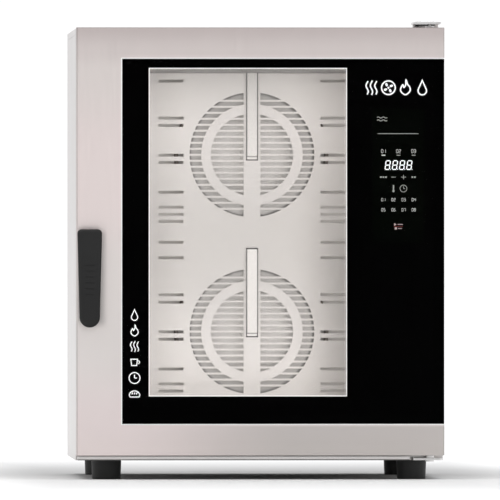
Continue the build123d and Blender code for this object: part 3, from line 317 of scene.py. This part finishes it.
def wheel_steel(name, middle):
    """Fan wheel: bright back disc inside, a duller front ring round it and a painted shadow at its
    rim.
    """
    material = brushed_steel(name, (0.735, 0.72, 0.705), (0.775, 0.76, 0.745), (0.28, 0.40), "X")
    tree = material.node_tree
    x, _, z = place(tree)
    across, up = maths(tree, "SUBTRACT", x, middle.x), maths(tree, "SUBTRACT", z, middle.z)
    radius = distance(tree, across, up)
    tint(tree, material, ramp(tree, radius, 88 * MM, 94 * MM, 1.0, 0.76))
    # painted shadow at the rim, behind the outer ends of the baffle's slots
    return tint(tree, material, ramp(tree, radius, 124 * MM, 130 * MM, 1.0, 0.60))


def rim_shaded_plastic():
    """Handle plastic with painted shade: blacker where the face rolls over into the sides."""
    material = moulded("rim_shaded_plastic", (0.0095, 0.0095, 0.0095), (0.0145, 0.0145, 0.0145),
                       (0.42, 0.56), specular=0.25)
    tree = material.node_tree
    source = add(tree, "ShaderNodeTexCoord")
    split = add(tree, "ShaderNodeSeparateXYZ")
    tree.links.new(source.outputs["Normal"], split.inputs[0])
    facing = maths(tree, "ABSOLUTE", split.outputs[1])
    # painted shade, darkest where the surface turns sideways
    return tint(tree, material, ramp(tree, facing, 0.55, 0.99, 0.25, 1.0))


def cavity_steel():
    """Bright liner with painted shade on its ceiling: darker there and not metallic."""
    material = brushed_steel("liner_steel", *LINER_TONES, (0.26, 0.36), "X")
    tree = material.node_tree
    _, _, z = place(tree)
    walls_end, ceiling = LINER_HIGH.z - 5 * MM, LINER_HIGH.z - 3 * MM
    shader = tree.nodes["Principled BSDF"]
    shader.inputs["Specular IOR Level"].default_value = 0.05
    # painted shade on the ceiling: no metal shine and a darker colour
    put(tree, shader.inputs["Metallic"], ramp(tree, z, walls_end, ceiling, 1.0, 0.0))
    return tint(tree, material, ramp(tree, z, walls_end, ceiling, 1.0, 0.35))


def cover_steel():
    """Tube covers with painted shadow lines where the sheet folds back: down the sides, at the feet
    and at the lower cover's top."""
    material = brushed_steel("cover_steel", (0.92, 0.895, 0.88), (0.95, 0.925, 0.91), (0.26, 0.36),
                             "X")
    tree = material.node_tree
    x, _, z = place(tree)
    from_middle = maths(tree, "ABSOLUTE", x)
    side = COVER_HIGH.x
    # painted shadow down the sides
    tint(tree, material, ramp(tree, from_middle, side - 2.6 * MM, side - 2.1 * MM, 1.0, 0.30))
    lines = [(LOWER_COVER_TOP - 2.4 * MM, LOWER_COVER_TOP + 1 * MM, 0.85)]
    for foot in COVER_FEET:
        lines += [(foot - 1 * MM, foot + 2.2 * MM, 0.9), (foot + 7 * MM, foot + 9.5 * MM, 0.45)]
    # painted shadow lines across the covers
    for bottom, top, darkness in lines:
        line = within(tree, z, bottom, top, 0.3 * MM)
        tint(tree, material, one_minus(tree, product(tree, line, darkness)))
    return material


def gutter_steel():
    """Drip gutter: dull, with a painted shadow line along its lower edge."""
    material = brushed_steel("gutter_steel", (0.70, 0.675, 0.66), (0.74, 0.715, 0.70), (0.30, 0.40),
                             "X")
    tree = material.node_tree
    _, _, z = place(tree)
    foot = GUTTER_LOW.z
    # painted shadow along the lowest couple of millimetres
    return tint(tree, material, ramp(tree, z, foot + 1.6 * MM, foot + 2.6 * MM, 0.22, 1.0))


def bracket_steel():
    """Upper hinge bracket: bright plate, with painted dark reflection and shade, near black, on the
    lips at its front.
    """
    material = brushed_steel("bracket_steel", (0.82, 0.81, 0.80), (0.90, 0.89, 0.88), (0.25, 0.38),
                             "X")
    tree = material.node_tree
    _, y, z = place(tree)
    front = ramp(tree, y, BRACKET_LOW.y + 6 * MM, BRACKET_LOW.y + 7 * MM, 1.0, 0.0)
    below_plate = ramp(tree, z, BRACKET_HIGH.z - 5.6 * MM, BRACKET_HIGH.z - 5 * MM, 1.0, 0.0)
    lips = product(tree, front, below_plate)
    # painted dark reflection and shade on the front lips
    return tint(tree, material, one_minus(tree, product(tree, lips, 0.97)))


def edged_glass():
    """The outer pane: clear, with its ground edge on the hinge side painted black, painted shade
    for the dark look of a glass edge.
    """
    material = clear_glass("edged_glass", GLASS_TINT)
    tree = material.node_tree
    x, _, _ = place(tree)
    black = add(tree, "ShaderNodeBsdfPrincipled")
    black.inputs["Base Color"].default_value = (0.001, 0.001, 0.001, 1)
    black.inputs["Roughness"].default_value = 0.4
    black.inputs["Specular IOR Level"].default_value = 0.05
    output = tree.nodes["Material Output"].inputs["Surface"]
    mix = add(tree, "ShaderNodeMixShader")
    # painted shade: the pane's last millimetre on the hinge side turns black
    tree.links.new(ramp(tree, x, GLASS_HIGH.x - 1.0 * MM, GLASS_HIGH.x - 0.7 * MM), mix.inputs[0])
    tree.links.new(output.links[0].from_socket, mix.inputs[1])
    tree.links.new(black.outputs[0], mix.inputs[2])
    tree.links.new(mix.outputs[0], output)
    return material


def moulded(name, first, second, rough, grain=1500.0, depth=0.15, bevel=0.5 * MM, specular=0.5):
    """Moulded plastic, rubber or paint: fine eroded texture and slightly uneven tone."""
    material, tree, shader = new_material(name)
    texture = noise(tree, grain, 3.0, 0.6)
    clouds = noise(tree, 9.0, 3.0)
    tree.links.new(blend_colours(tree, spread(tree, clouds, 0.0, 1.0), first, second),
                   shader.inputs["Base Color"])
    tree.links.new(spread(tree, texture, rough[0], rough[1]), shader.inputs["Roughness"])
    shader.inputs["Specular IOR Level"].default_value = specular
    tree.links.new(bump(tree, texture, depth, 0.05 * MM, bevel), shader.inputs["Normal"])
    return material


def clear_glass(name, colour):
    """Flat pane: refracting glass that lets lamps light what is behind it."""
    material, tree, shader = new_material(name)
    smears = noise(tree, 14.0, 5.0, 0.6)
    tree.links.new(spread(tree, smears, 0.0, 0.012), shader.inputs["Roughness"])
    shader.inputs["Base Color"].default_value = (*colour, 1)
    shader.inputs["Transmission Weight"].default_value = 1.0
    shader.inputs["IOR"].default_value = 1.5
    clear = add(tree, "ShaderNodeBsdfTransparent")
    clear.inputs["Color"].default_value = (*[channel * 0.97 for channel in colour], 1)
    path = add(tree, "ShaderNodeLightPath")
    mix = add(tree, "ShaderNodeMixShader")
    tree.links.new(path.outputs["Is Shadow Ray"], mix.inputs[0])
    tree.links.new(shader.outputs[0], mix.inputs[1])
    tree.links.new(clear.outputs[0], mix.inputs[2])
    tree.links.new(mix.outputs[0], tree.nodes["Material Output"].inputs["Surface"])
    return material


def glowing(name, colour, strength):
    """Print or diffuser that gives off a little light of its own colour; on print the glow is
    painted light.
    """
    material, tree, shader = new_material(name)
    tree.links.new(spread(tree, noise(tree, 400.0), 0.4, 0.5), shader.inputs["Roughness"])
    shader.inputs["Base Color"].default_value = (*colour, 1)
    shader.inputs["Emission Color"].default_value = (*colour, 1)
    shader.inputs["Emission Strength"].default_value = strength
    return material


SATIN = brushed_steel("satin_steel", (0.68, 0.655, 0.64), (0.735, 0.71, 0.70), (0.30, 0.40), "Z")
LINER = brushed_steel("cavity_steel", *LINER_TONES, (0.26, 0.36), "X")
WIRE = brushed_steel("wire_chrome", (0.80, 0.80, 0.80), (0.88, 0.88, 0.88), (0.10, 0.20), "Y",
                     bevel=0)
HINGE = brushed_steel("hinge_steel", (0.66, 0.65, 0.64), (0.78, 0.77, 0.76), (0.25, 0.38), "X")
SCREW = brushed_steel("screw_steel", (0.62, 0.61, 0.60), (0.76, 0.75, 0.74), (0.22, 0.34), "X",
                      2500.0)
ZINC = brushed_steel("zinc_sheet", (0.56, 0.58, 0.60), (0.72, 0.73, 0.75), (0.38, 0.52), "Y", 120.0)
TRIM = brushed_steel("bright_trim", (0.95, 0.94, 0.93), (0.98, 0.97, 0.96), (0.48, 0.58), "Z")
SHEATH = brushed_steel("heater_sheath", (0.20, 0.18, 0.17), (0.38, 0.34, 0.31), (0.35, 0.5), "Y")
BRONZE = brushed_steel("bronze", (0.50, 0.34, 0.16), (0.64, 0.46, 0.24), (0.28, 0.4), "Z")
BRASS = brushed_steel("brass", (0.70, 0.50, 0.22), (0.80, 0.60, 0.30), (0.22, 0.34), "Y")
HANDLE = moulded("handle_plastic", (0.010, 0.010, 0.010), (0.015, 0.015, 0.015), (0.42, 0.56),
                 specular=0.25)
BLACK = moulded("black_plastic", (0.014, 0.014, 0.014), (0.022, 0.022, 0.022), (0.40, 0.55),
                specular=0.3)
FOOT = moulded("foot_nylon", (0.022, 0.022, 0.022), (0.032, 0.032, 0.031), (0.45, 0.62), 700.0, 0.3,
               specular=0.3)
SILICONE = moulded("silicone", (0.070, 0.068, 0.066), (0.10, 0.097, 0.095), (0.55, 0.7), 500.0, 0.2)
ENAMEL = moulded("black_enamel", (0.0002, 0.0002, 0.0002), (0.0004, 0.0003, 0.0004), (0.30, 0.36),
                 bevel=0, depth=0.01, specular=0.02)
WOOL = moulded("mineral_wool", (0.48, 0.44, 0.30), (0.62, 0.58, 0.44), (0.9, 1.0), 260.0, 0.9)
BOARD = moulded("circuit_board", (0.010, 0.075, 0.03), (0.016, 0.10, 0.04), (0.25, 0.4), 300.0, 0.1)
CASTING = moulded("motor_casting", (0.06, 0.065, 0.07), (0.10, 0.105, 0.11), (0.5, 0.65), 400.0,
                  0.4)
DIFFUSER = glowing("light_diffuser", (1.0, 0.955, 0.92), 4.0)
GLASS = clear_glass("clear_glass", GLASS_TINT)

BY_SLOT = {
    "stainless": SATIN, "polished_steel": LINER, "mineral_wool": WOOL, "galvanised": ZINC,
    "silicone": SILICONE, "heater_sheath": SHEATH, "cast_motor": CASTING, "seal_bronze": BRONZE,
    "chrome_wire": WIRE, "hinge_steel": HINGE, "screw_steel": SCREW, "circuit_green": BOARD,
    "black_plastic": BLACK, "brass_body": BRASS, "clear_glass": GLASS, "black_glass": ENAMEL,
    "bright_trim": TRIM, "led_diffuser": DIFFUSER, "handle_plastic": HANDLE, "foot_rubber": FOOT,
}
BY_NODE = {
    "door_frame": door_steel(), "outer_glass": edged_glass(), "handle_lever": rim_shaded_plastic(),
    "cavity_liner": cavity_steel(), "fan_baffle": baffle_steel(), "tube_covers": cover_steel(),
    "drip_gutter": gutter_steel(), "hinge_bracket_top": bracket_steel(),
}
for wheel in ("fan_wheel_upper", "fan_wheel_lower"):
    wheel_low, wheel_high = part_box(wheel)
    BY_NODE[wheel] = wheel_steel(wheel, (wheel_low + wheel_high) / 2)
for part in frame["record"]["subparts"]:
    for material_slot in nodes[part["node"]].material_slots:
        material_slot.material = BY_NODE.get(part["node"], BY_SLOT[part["material_slot"]])


# ---------------------------------------------------------------- flat printed shapes
class Print:
    """Flat shapes drawn in X and Z, in millimetres, made into one thin solid piece."""

    def __init__(self):
        self.polygons = []

    def polygon(self, points):
        self.polygons.append([(x, z) for x, z in points])

    def box(self, x, z, width, height):
        w, h = width / 2, height / 2
        self.polygon([(x - w, z - h), (x + w, z - h), (x + w, z + h), (x - w, z + h)])

    def strip(self, points, width, closed=False):
        """Line of even width through the points, as one row of quads with mitred corners."""
        count = len(points)
        spots = [Vector(point) for point in points]
        left, right = [], []
        for i, spot in enumerate(spots):
            arriving = (spot - spots[i - 1]).normalized()
            leaving = (spots[(i + 1) % count] - spot).normalized()
            if not closed and i == 0:
                arriving = leaving
            if not closed and i == count - 1:
                leaving = arriving
            along = (arriving + leaving).normalized()
            side = Vector((-along.y, along.x)) * width / 2 / max(along.dot(arriving), 0.5)
            left.append(tuple(spot + side))
            right.append(tuple(spot - side))
        last = count if closed else count - 1
        for i in range(last):
            j = (i + 1) % count
            self.polygon([right[i], right[j], left[j], left[i]])

    def arc(self, x, z, radius, width, start=0.0, end=360.0, steps=48):
        whole = abs(end - start) >= 360
        count = steps if whole else steps + 1
        angles = [math.radians(start + (end - start) * i / steps) for i in range(count)]
        self.strip([(x + radius * math.cos(a), z + radius * math.sin(a)) for a in angles],
                   width, closed=whole)

    def disc(self, x, z, radius, steps=40):
        self.polygon([(x + radius * math.cos(math.tau * i / steps),
                       z + radius * math.sin(math.tau * i / steps)) for i in range(steps)])

    def piece(self, name, y, material, body="door", thick=PRINT_THICK):
        """Thin closed solid of every polygon, centred on depth y and riding on the body."""
        mesh = bmesh.new()
        for points in self.polygons:
            area = sum(a[0] * b[1] - b[0] * a[1] for a, b in zip(points, points[1:] + points[:1]))
            ordered = points if area > 0 else points[::-1]
            front = [mesh.verts.new((x * MM, y - thick / 2, z * MM)) for x, z in ordered]
            back = [mesh.verts.new((x * MM, y + thick / 2, z * MM)) for x, z in ordered]
            mesh.faces.new(front)
            mesh.faces.new(back[::-1])
            for i in range(len(front)):
                j = (i + 1) % len(front)
                mesh.faces.new((front[j], front[i], back[i], back[j]))
        data = bpy.data.meshes.new(name)
        mesh.to_mesh(data)
        mesh.free()
        made = bpy.data.objects.new(name, data)
        scene.collection.objects.link(made)
        made.data.materials.append(material)
        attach(made, body)


SEGMENTS = {0: "abcdef", 1: "bc", 2: "abged", 3: "abgcd", 4: "fgbc",
            5: "afgcd", 6: "afgedc", 7: "abc", 8: "abcdefg", 9: "abcdfg"}


def digit(drawing, number, x, z, height, line, slant=0.0):
    """Seven-segment numeral centred on x, z."""
    width = height * 0.5
    half_w, half_h = width / 2, height / 2
    gap = line * 0.12
    ends = {
        "a": ((-half_w, half_h), (half_w, half_h)), "d": ((-half_w, -half_h), (half_w, -half_h)),
        "g": ((-half_w, 0), (half_w, 0)), "b": ((half_w, half_h), (half_w, 0)),
        "c": ((half_w, 0), (half_w, -half_h)), "e": ((-half_w, 0), (-half_w, -half_h)),
        "f": ((-half_w, half_h), (-half_w, 0)),
    }
    for segment in SEGMENTS[number]:
        (x0, z0), (x1, z1) = ends[segment]
        length = math.hypot(x1 - x0, z1 - z0)
        ux, uz = (x1 - x0) / length, (z1 - z0) / length
        shoulder, h = gap + line / 2, line / 2
        outline = [(gap, 0), (shoulder, -h), (length - shoulder, -h), (length - gap, 0),
                   (length - shoulder, h), (shoulder, h)]
        drawing.polygon([(x + x0 + u * ux - v * uz + slant * (z0 + u * uz + v * ux),
                          z + z0 + u * uz + v * ux) for u, v in outline])


# ---------------------------------------------------------------- generic pictograms
def steam(drawing, x, z, size, line):
    for k in (-1, 0, 1):
        points = []
        for i in range(25):
            t = i / 24
            points.append((x + k * size * 0.30 + size * 0.075 * math.sin(t * math.tau * 1.15),
                           z + size * (t - 0.5) * (0.92 if k else 1.0)))
        drawing.strip(points, line)


def fan(drawing, x, z, size, line):
    drawing.arc(x, z, size * 0.47, line)
    drawing.disc(x, z, size * 0.07)
    for k in range(4):
        turn = math.radians(90 * k + 20)
        outline = []
        for i in range(17):
            t = math.tau * i / 16
            u = size * (0.235 + 0.125 * math.cos(t))
            v = size * 0.085 * math.sin(t) + size * 0.05
            outline.append((x + u * math.cos(turn) - v * math.sin(turn),
                            z + u * math.sin(turn) + v * math.cos(turn)))
        drawing.polygon(outline)


def drop(drawing, x, z, size, line):
    """Outline of a falling drop: round below, pointed above."""
    radius = size * 0.29
    points = [(x, z + size * 0.5)]
    for i in range(29):
        a = math.radians(32 - 244 * i / 28)
        points.append((x + radius * math.cos(a), z - size * 0.20 + radius * math.sin(a)))
    drawing.strip(points, line, closed=True)


def smooth_loop(points, steps=6):
    """Closed round curve through the points."""
    count = len(points)
    curve = []
    for i in range(count):
        p0, p1, p2, p3 = (Vector(points[(i + k) % count]) for k in (-1, 0, 1, 2))
        for j in range(steps):
            t = j / steps
            bend = (2 * p1 + (p2 - p0) * t + (2 * p0 - 5 * p1 + 4 * p2 - p3) * t ** 2
                    + (3 * p1 - p0 - 3 * p2 + p3) * t ** 3) / 2
            curve.append((bend.x, bend.y))
    return curve


FLAME = ((0.05, 0.52), (0.15, 0.25), (0.31, 0.02), (0.30, -0.26), (0.0, -0.48),
         (-0.30, -0.26), (-0.30, 0.0), (-0.17, 0.20), (-0.10, 0.02), (0.03, 0.22))


def flame(drawing, x, z, size, line):
    """Flame with one tall tongue and a small one beside it."""
    outline = smooth_loop([(x + u * size, z + v * size) for u, v in FLAME])
    drawing.strip(outline, line, closed=True)


def loaf(drawing, x, z, size, line):
    points = []
    for i in range(33):
        a = math.pi * i / 32
        points.append((x + size * 0.48 * math.cos(a), z - size * 0.16 + size * 0.42 * math.sin(a)))
    points += [(x - size * 0.40, z - size * 0.30), (x + size * 0.40, z - size * 0.30)]
    drawing.strip(points, line, closed=True)
    for k in (-1, 0, 1):
        drawing.strip([(x + size * (0.20 * k - 0.05), z - size * 0.06),
                       (x + size * (0.20 * k + 0.05), z + size * 0.12)], line)


def cup(drawing, x, z, size, line):
    rim, foot = z + size * 0.28, z - size * 0.30
    drawing.strip([(x - size * 0.34, rim), (x - size * 0.27, foot),
                   (x + size * 0.20, foot), (x + size * 0.27, rim)], line, closed=True)
    drawing.arc(x + size * 0.30, z, size * 0.15, line, -70, 75, 14)


def clock(drawing, x, z, size, line):
    drawing.arc(x, z, size / 2, line, steps=32)
    drawing.strip([(x, z + size * 0.30), (x, z)], line)
    drawing.strip([(x, z), (x + size * 0.22, z)], line)


def thermometer(drawing, x, z, size, line):
    drawing.disc(x, z - size * 0.36, size * 0.16, 24)
    drawing.strip([(x, z - size * 0.3), (x, z + size * 0.5)], line * 1.3)


# ---------------------------------------------------------------- print on the door glass
# the printed marks glow a little: painted light that keeps them bright behind the glass
WHITE = glowing("white_print", (0.92, 0.93, 0.94), 0.35)
PALE = glowing("pale_print", (0.70, 0.71, 0.70), 0.20)
DIM = glowing("grey_print", (0.45, 0.46, 0.44), 0.12)
DIGITS = glowing("display_digits", (0.90, 0.91, 0.93), 0.6)
ROSE = glowing("rose_print", (0.62, 0.50, 0.50), 0.15)
LAMP_RED = glowing("red_mark", (0.30, 0.02, 0.02), 0.1)
PANEL_TINT = moulded("panel_tint", (0.0008, 0.0014, 0.0007), (0.0010, 0.0017, 0.0009), (0.30, 0.36),
                     bevel=0, depth=0.01, specular=0.02)
# the window line glows a little too: painted light
BORDER = glowing("window_line", (0.80, 0.79, 0.78), 0.45)

# from here to the end of panel_marks, sizes are in millimetres
WINDOW_LINE = 2.1
RIM = 20                  # the opening's corners lie at least this far inside the mask's outline
mask_left, mask_right = MASK_LOW.x / MM, MASK_HIGH.x / MM
mask_bottom, mask_top = MASK_LOW.z / MM, MASK_HIGH.z / MM
panel_x = (BOARD_LOW.x + BOARD_HIGH.x) / 2 / MM
panel_z = (BOARD_LOW.z + BOARD_HIGH.z) / 2 / MM
opening = [vertex.co / MM for vertex in nodes["glass_mask"].data.vertices
           if mask_left + RIM < vertex.co.x / MM < mask_right - RIM]
window_left, window_right = min(v.x for v in opening), max(v.x for v in opening)
window_bottom, window_top = min(v.z for v in opening), max(v.z for v in opening)


def door_marks():
    """Large pictograms: a row over the controls and a column beside the window."""
    marks = Print()
    for k, draw in enumerate((steam, fan, flame, drop)):
        draw(marks, panel_x - 2 + 35.0 * (k - 1.5), mask_top - 61.5, 30.0, 3.0)
    for k, draw in enumerate((loaf, clock, cup, steam, flame, drop)):
        draw(marks, mask_left + 27.5, mask_bottom + 64.5 + 32.5 * k, 22.5, 2.3)
    marks.piece("door_pictograms", PRINT_Y, WHITE)


def window_line():
    """Pale line printed around the inside of the window."""
    line = Print()
    x0, x1 = window_left + WINDOW_LINE / 2, window_right - WINDOW_LINE / 2
    z0, z1 = window_bottom + WINDOW_LINE / 2, window_top - WINDOW_LINE / 2
    line.strip([(x0, z0), (x1, z0), (x1, z1), (x0, z1)], WINDOW_LINE, closed=True)
    line.piece("window_line", PRINT_Y, BORDER)


def numeral(drawing, digits, x, z, height, line):
    """Plain two-digit number."""
    pitch = height * 0.5 + line * 2.0
    for k, value in enumerate(digits):
        digit(drawing, value, x + pitch * (k - (len(digits) - 1) / 2), z, height, line)


def panel_marks():
    """Touch panel: keys, icons and numerals on their own faintly tinted field."""
    field = Print()
    field.box(panel_x, panel_z, 106, 276)
    field.piece("panel_field", PRINT_Y + 0.25 * MM, PANEL_TINT, thick=0.15 * MM)
    middle = panel_x + 1.4        # the marks sit a little to the right of the board's middle
    column = 31.2                 # pitch of the three columns of function keys
    near = 10.4                   # the minus and plus keys stand this far from the middle
    bars_z = panel_z + 41.6       # bars under the function keys
    dashes_z = panel_z - 3.6      # dashes, minus and plus under the digits
    icons_z = panel_z - 27.2      # thermometer and clock

    digits = Print()
    for k in range(4):
        x = middle + 14.9 * (k - 1.5)
        digit(digits, 8, x, panel_z + 21.2, 17.8, 2.1, slant=0.14)
        digits.disc(x + 5.6, panel_z + 12.4, 0.9, 12)
    digits.piece("display_digits", PRINT_Y, DIGITS)

    bright = Print()
    bright.box(middle - column, bars_z, 8.2, 2.0)
    for k in range(3):
        numeral(bright, (0, k + 1), middle + column * (k - 1), panel_z + 50.0, 7.0, 0.85)
    for k in range(8):
        x, z = middle + 20.95 * (k % 4 - 1.5), panel_z - 50.3 - 20.9 * (k // 4)
        numeral(bright, (0, k + 1), x, z, 6.0, 0.85)
    bright.piece("panel_numerals", PRINT_Y, PALE)

    dim = Print()
    dim.box(panel_x + 0.5, panel_z + 86.2, 84.5, 1.3)
    for k in (0, 1):
        dim.box(middle + column * k, bars_z, 7.6, 1.5)
    for k in (-1, 1):
        wave_z = panel_z + 116.5 + 3.0 * k
        wave = [(middle - 44.5 + i, wave_z + 1.2 * math.sin(i * 0.6)) for i in range(22)]
        dim.strip(wave, 1.35)
    for side, count in ((-1, 3), (1, 2)):
        for k in range(count):
            dim.box(middle + side * column + 5.2 * (k - (count - 1) / 2), dashes_z, 3.4, 3.2)
    for side in (-1, 1):
        dim.box(middle + side * near, dashes_z, 9.4, 1.1)
    for side in (-1, 1):
        dim.box(middle + near, dashes_z + side * 2.6, 1.1, 4.0)
    thermometer(dim, middle - near, icons_z, 14.4, 1.9)
    clock(dim, middle + 10.2, icons_z, 14.2, 1.1)
    dim.piece("panel_lines", PRINT_Y, DIM)

    keys = Print()
    start_z, stop_z = panel_z - 101.3, panel_z - 109.6
    left = middle - 9.0
    keys.polygon([(left, start_z + 3.0), (left, start_z - 3.0), (middle - 4.2, start_z)])
    keys.box(middle + 3.6, start_z, 11.0, 1.4)
    keys.box(middle - 5.6, stop_z, 4.6, 4.6)
    keys.box(middle + 3.0, stop_z, 8.0, 1.4)
    keys.piece("start_and_stop", PRINT_Y, ROSE)
    red = Print()
    red.box(middle - 0.5, panel_z - 105.6, 19.0, 0.7)
    red.piece("start_mark", PRINT_Y, LAMP_RED)


door_marks()
window_line()
panel_marks()

# ---------------------------------------------------------------- floor, light and camera
# lengths in metres, light in watts
FLOOR_SIZE = 400.0
FLOOR_FRONT = -8.0          # the floor ends here, so the black glass doesn't mirror it
FLOOR_DROP = 0.0002         # keeps the floor just clear of the feet
# painted shadow: the floor's colour near the object, in front and behind
FRONT_SHADOW_TONES = ((0.69, 0.69, 0.69), (0.71, 0.71, 0.71))
BEHIND_SHADOW_TONE = (0.53, 0.53, 0.53)
FAR_TONE = (0.84, 0.84, 0.84)
FADE_GLOW = 0.40            # the floor's own glow, painted light that whitens it where it fades into the white world
FAR_GLOW = (0.7, 3.6)       # it comes up between these distances from the object
SIDE_GLOW = (0.02, 0.34)    # and, beside the object, between these
FLAG_EDGE, FLAG_CORE = math.radians(9), math.radians(5)
WORLD_LIGHT = 0.80          # the world's strength as light
WORLD_SEEN = 1.05           # and as background
WARM = (1.0, 0.965, 0.945)
CAMERA = Vector((-1.07, FRONT_Y - 30.3, 0.457))
AIM = Vector((-0.0217, FRONT_Y, 0.4738))
FIELD_WIDTH = 1.0323        # across the frame at the door
SENSOR = 36.0               # millimetres


def make_floor():
    """Pale floor with a painted shadow: darker beside the object and behind it; its glow, painted
    light, comes up aside and far away.
    """
    data = bpy.data.meshes.new("floor")
    half = FLOOR_SIZE / 2
    level = cad_low.z - FLOOR_DROP
    corners = [(-half, FLOOR_FRONT, level), (half, FLOOR_FRONT, level),
               (half, half, level), (-half, half, level)]
    data.from_pydata(corners, [], [(0, 1, 2, 3)])
    floor = bpy.data.objects.new("floor", data)
    scene.collection.objects.link(floor)
    material, tree, shader = new_material("pale_floor")
    shader.inputs["Roughness"].default_value = 0.8
    shader.inputs["Specular IOR Level"].default_value = 0.1
    shader.inputs["Emission Color"].default_value = (1, 1, 1, 1)
    x, y, _ = place(tree)
    aside = outside(tree, x, cad_low.x, cad_high.x)
    away = outside(tree, y, cad_low.y, cad_high.y)
    from_object = distance(tree, aside, away)
    clouds = noise(tree, 1.5, 2.0)
    front = blend_colours(tree, spread(tree, clouds, 0.0, 1.0), *FRONT_SHADOW_TONES)
    # painted shadow, darkest behind the object, fading out by 2.4 m
    near = blend_colours(tree, ramp(tree, y, cad_low.y, cad_high.y), front, BEHIND_SHADOW_TONE)
    whole = blend_colours(tree, ramp(tree, from_object, 0.0, 2.4), near, FAR_TONE)
    tree.links.new(whole, shader.inputs["Base Color"])
    # painted light: the floor glows aside and far away, not near the object
    far_glow = ramp(tree, from_object, *FAR_GLOW, 0.0, FADE_GLOW)
    side_glow = ramp(tree, aside, *SIDE_GLOW, 0.0, FADE_GLOW)
    tree.links.new(maths(tree, "MAXIMUM", far_glow, side_glow), shader.inputs["Emission Strength"])
    data.materials.append(material)


def make_world():
    """White to the eye; as light, a soft grey studio with a dark flag straight in front."""
    world = bpy.data.worlds.new("studio")
    world.use_nodes = True
    scene.world = world
    tree = world.node_tree
    tree.nodes.clear()
    direction = add(tree, "ShaderNodeTexCoord")
    towards = add(tree, "ShaderNodeVectorMath", operation="DOT_PRODUCT")
    towards.inputs[1].default_value = (0, -1, 0)
    tree.links.new(direction.outputs["Generated"], towards.inputs[0])
    flag = ramp(tree, towards.outputs["Value"], math.cos(FLAG_EDGE), math.cos(FLAG_CORE), 1.0, 0.0)
    studio = add(tree, "ShaderNodeBackground")
    studio.inputs["Color"].default_value = (0.985, 0.99, 1.0, 1)
    tree.links.new(product(tree, flag, WORLD_LIGHT), studio.inputs["Strength"])
    seen = add(tree, "ShaderNodeBackground")
    seen.inputs["Color"].default_value = (1, 1, 1, 1)
    seen.inputs["Strength"].default_value = WORLD_SEEN
    path = add(tree, "ShaderNodeLightPath")
    mix = add(tree, "ShaderNodeMixShader")
    tree.links.new(path.outputs["Is Camera Ray"], mix.inputs[0])
    tree.links.new(studio.outputs[0], mix.inputs[1])
    tree.links.new(seen.outputs[0], mix.inputs[2])
    output = add(tree, "ShaderNodeOutputWorld")
    tree.links.new(mix.outputs[0], output.inputs["Surface"])


def softbox(name, spot, aim, width, height, power, colour=(1, 1, 1)):
    """Soft rectangular lamp at spot, turned to aim."""
    data = bpy.data.lights.new(name, "AREA")
    data.shape = "RECTANGLE"
    data.size, data.size_y = width, height
    data.energy = power
    data.color = colour
    lamp = bpy.data.objects.new(name, data)
    lamp.location = spot
    lamp.rotation_mode = "QUATERNION"
    lamp.rotation_quaternion = (Vector(aim) - Vector(spot)).to_track_quat("-Z", "Y")
    scene.collection.objects.link(lamp)


def make_lights():
    """Three lamps round the object and two weak ones in the oven, before and behind the baffle."""
    middle = (0, 0, 0.5)
    softbox("key_left", (-2.4, -3.0, 4.7), middle, 2.2, 2.2, 76, (1.0, 0.985, 0.97))
    softbox("fill_right", (2.3, -2.6, 4.6), middle, 2.0, 2.0, 42)
    softbox("top", (0, 0.4, 4.0), middle, 5.0, 5.0, 50)
    back = Vector((0, 1, 0))
    before_baffle = Vector((0, BAFFLE_LOW.y - 0.24, OVEN_MIDDLE_Z))
    softbox("oven_lamp", before_baffle, before_baffle + back, 0.60, 0.70, 0.66, WARM)
    behind_baffle = Vector((0, BAFFLE_HIGH.y + 0.004, OVEN_MIDDLE_Z))
    softbox("fan_chamber_lamp", behind_baffle, behind_baffle + back, 0.62, 0.69, 0.28, WARM)


def make_camera():
    data = bpy.data.cameras.new("camera")
    camera = bpy.data.objects.new("camera", data)
    camera.location = CAMERA
    camera.rotation_mode = "QUATERNION"
    camera.rotation_quaternion = (AIM - CAMERA).to_track_quat("-Z", "Y")
    data.sensor_width = SENSOR
    data.lens = SENSOR * (AIM - CAMERA).length / FIELD_WIDTH
    data.clip_start, data.clip_end = 1.0, 1000.0
    scene.collection.objects.link(camera)
    scene.camera = camera


make_floor()
make_world()
make_lights()
make_camera()
scene.view_settings.view_transform = "Standard"
scene.view_settings.look = "None"
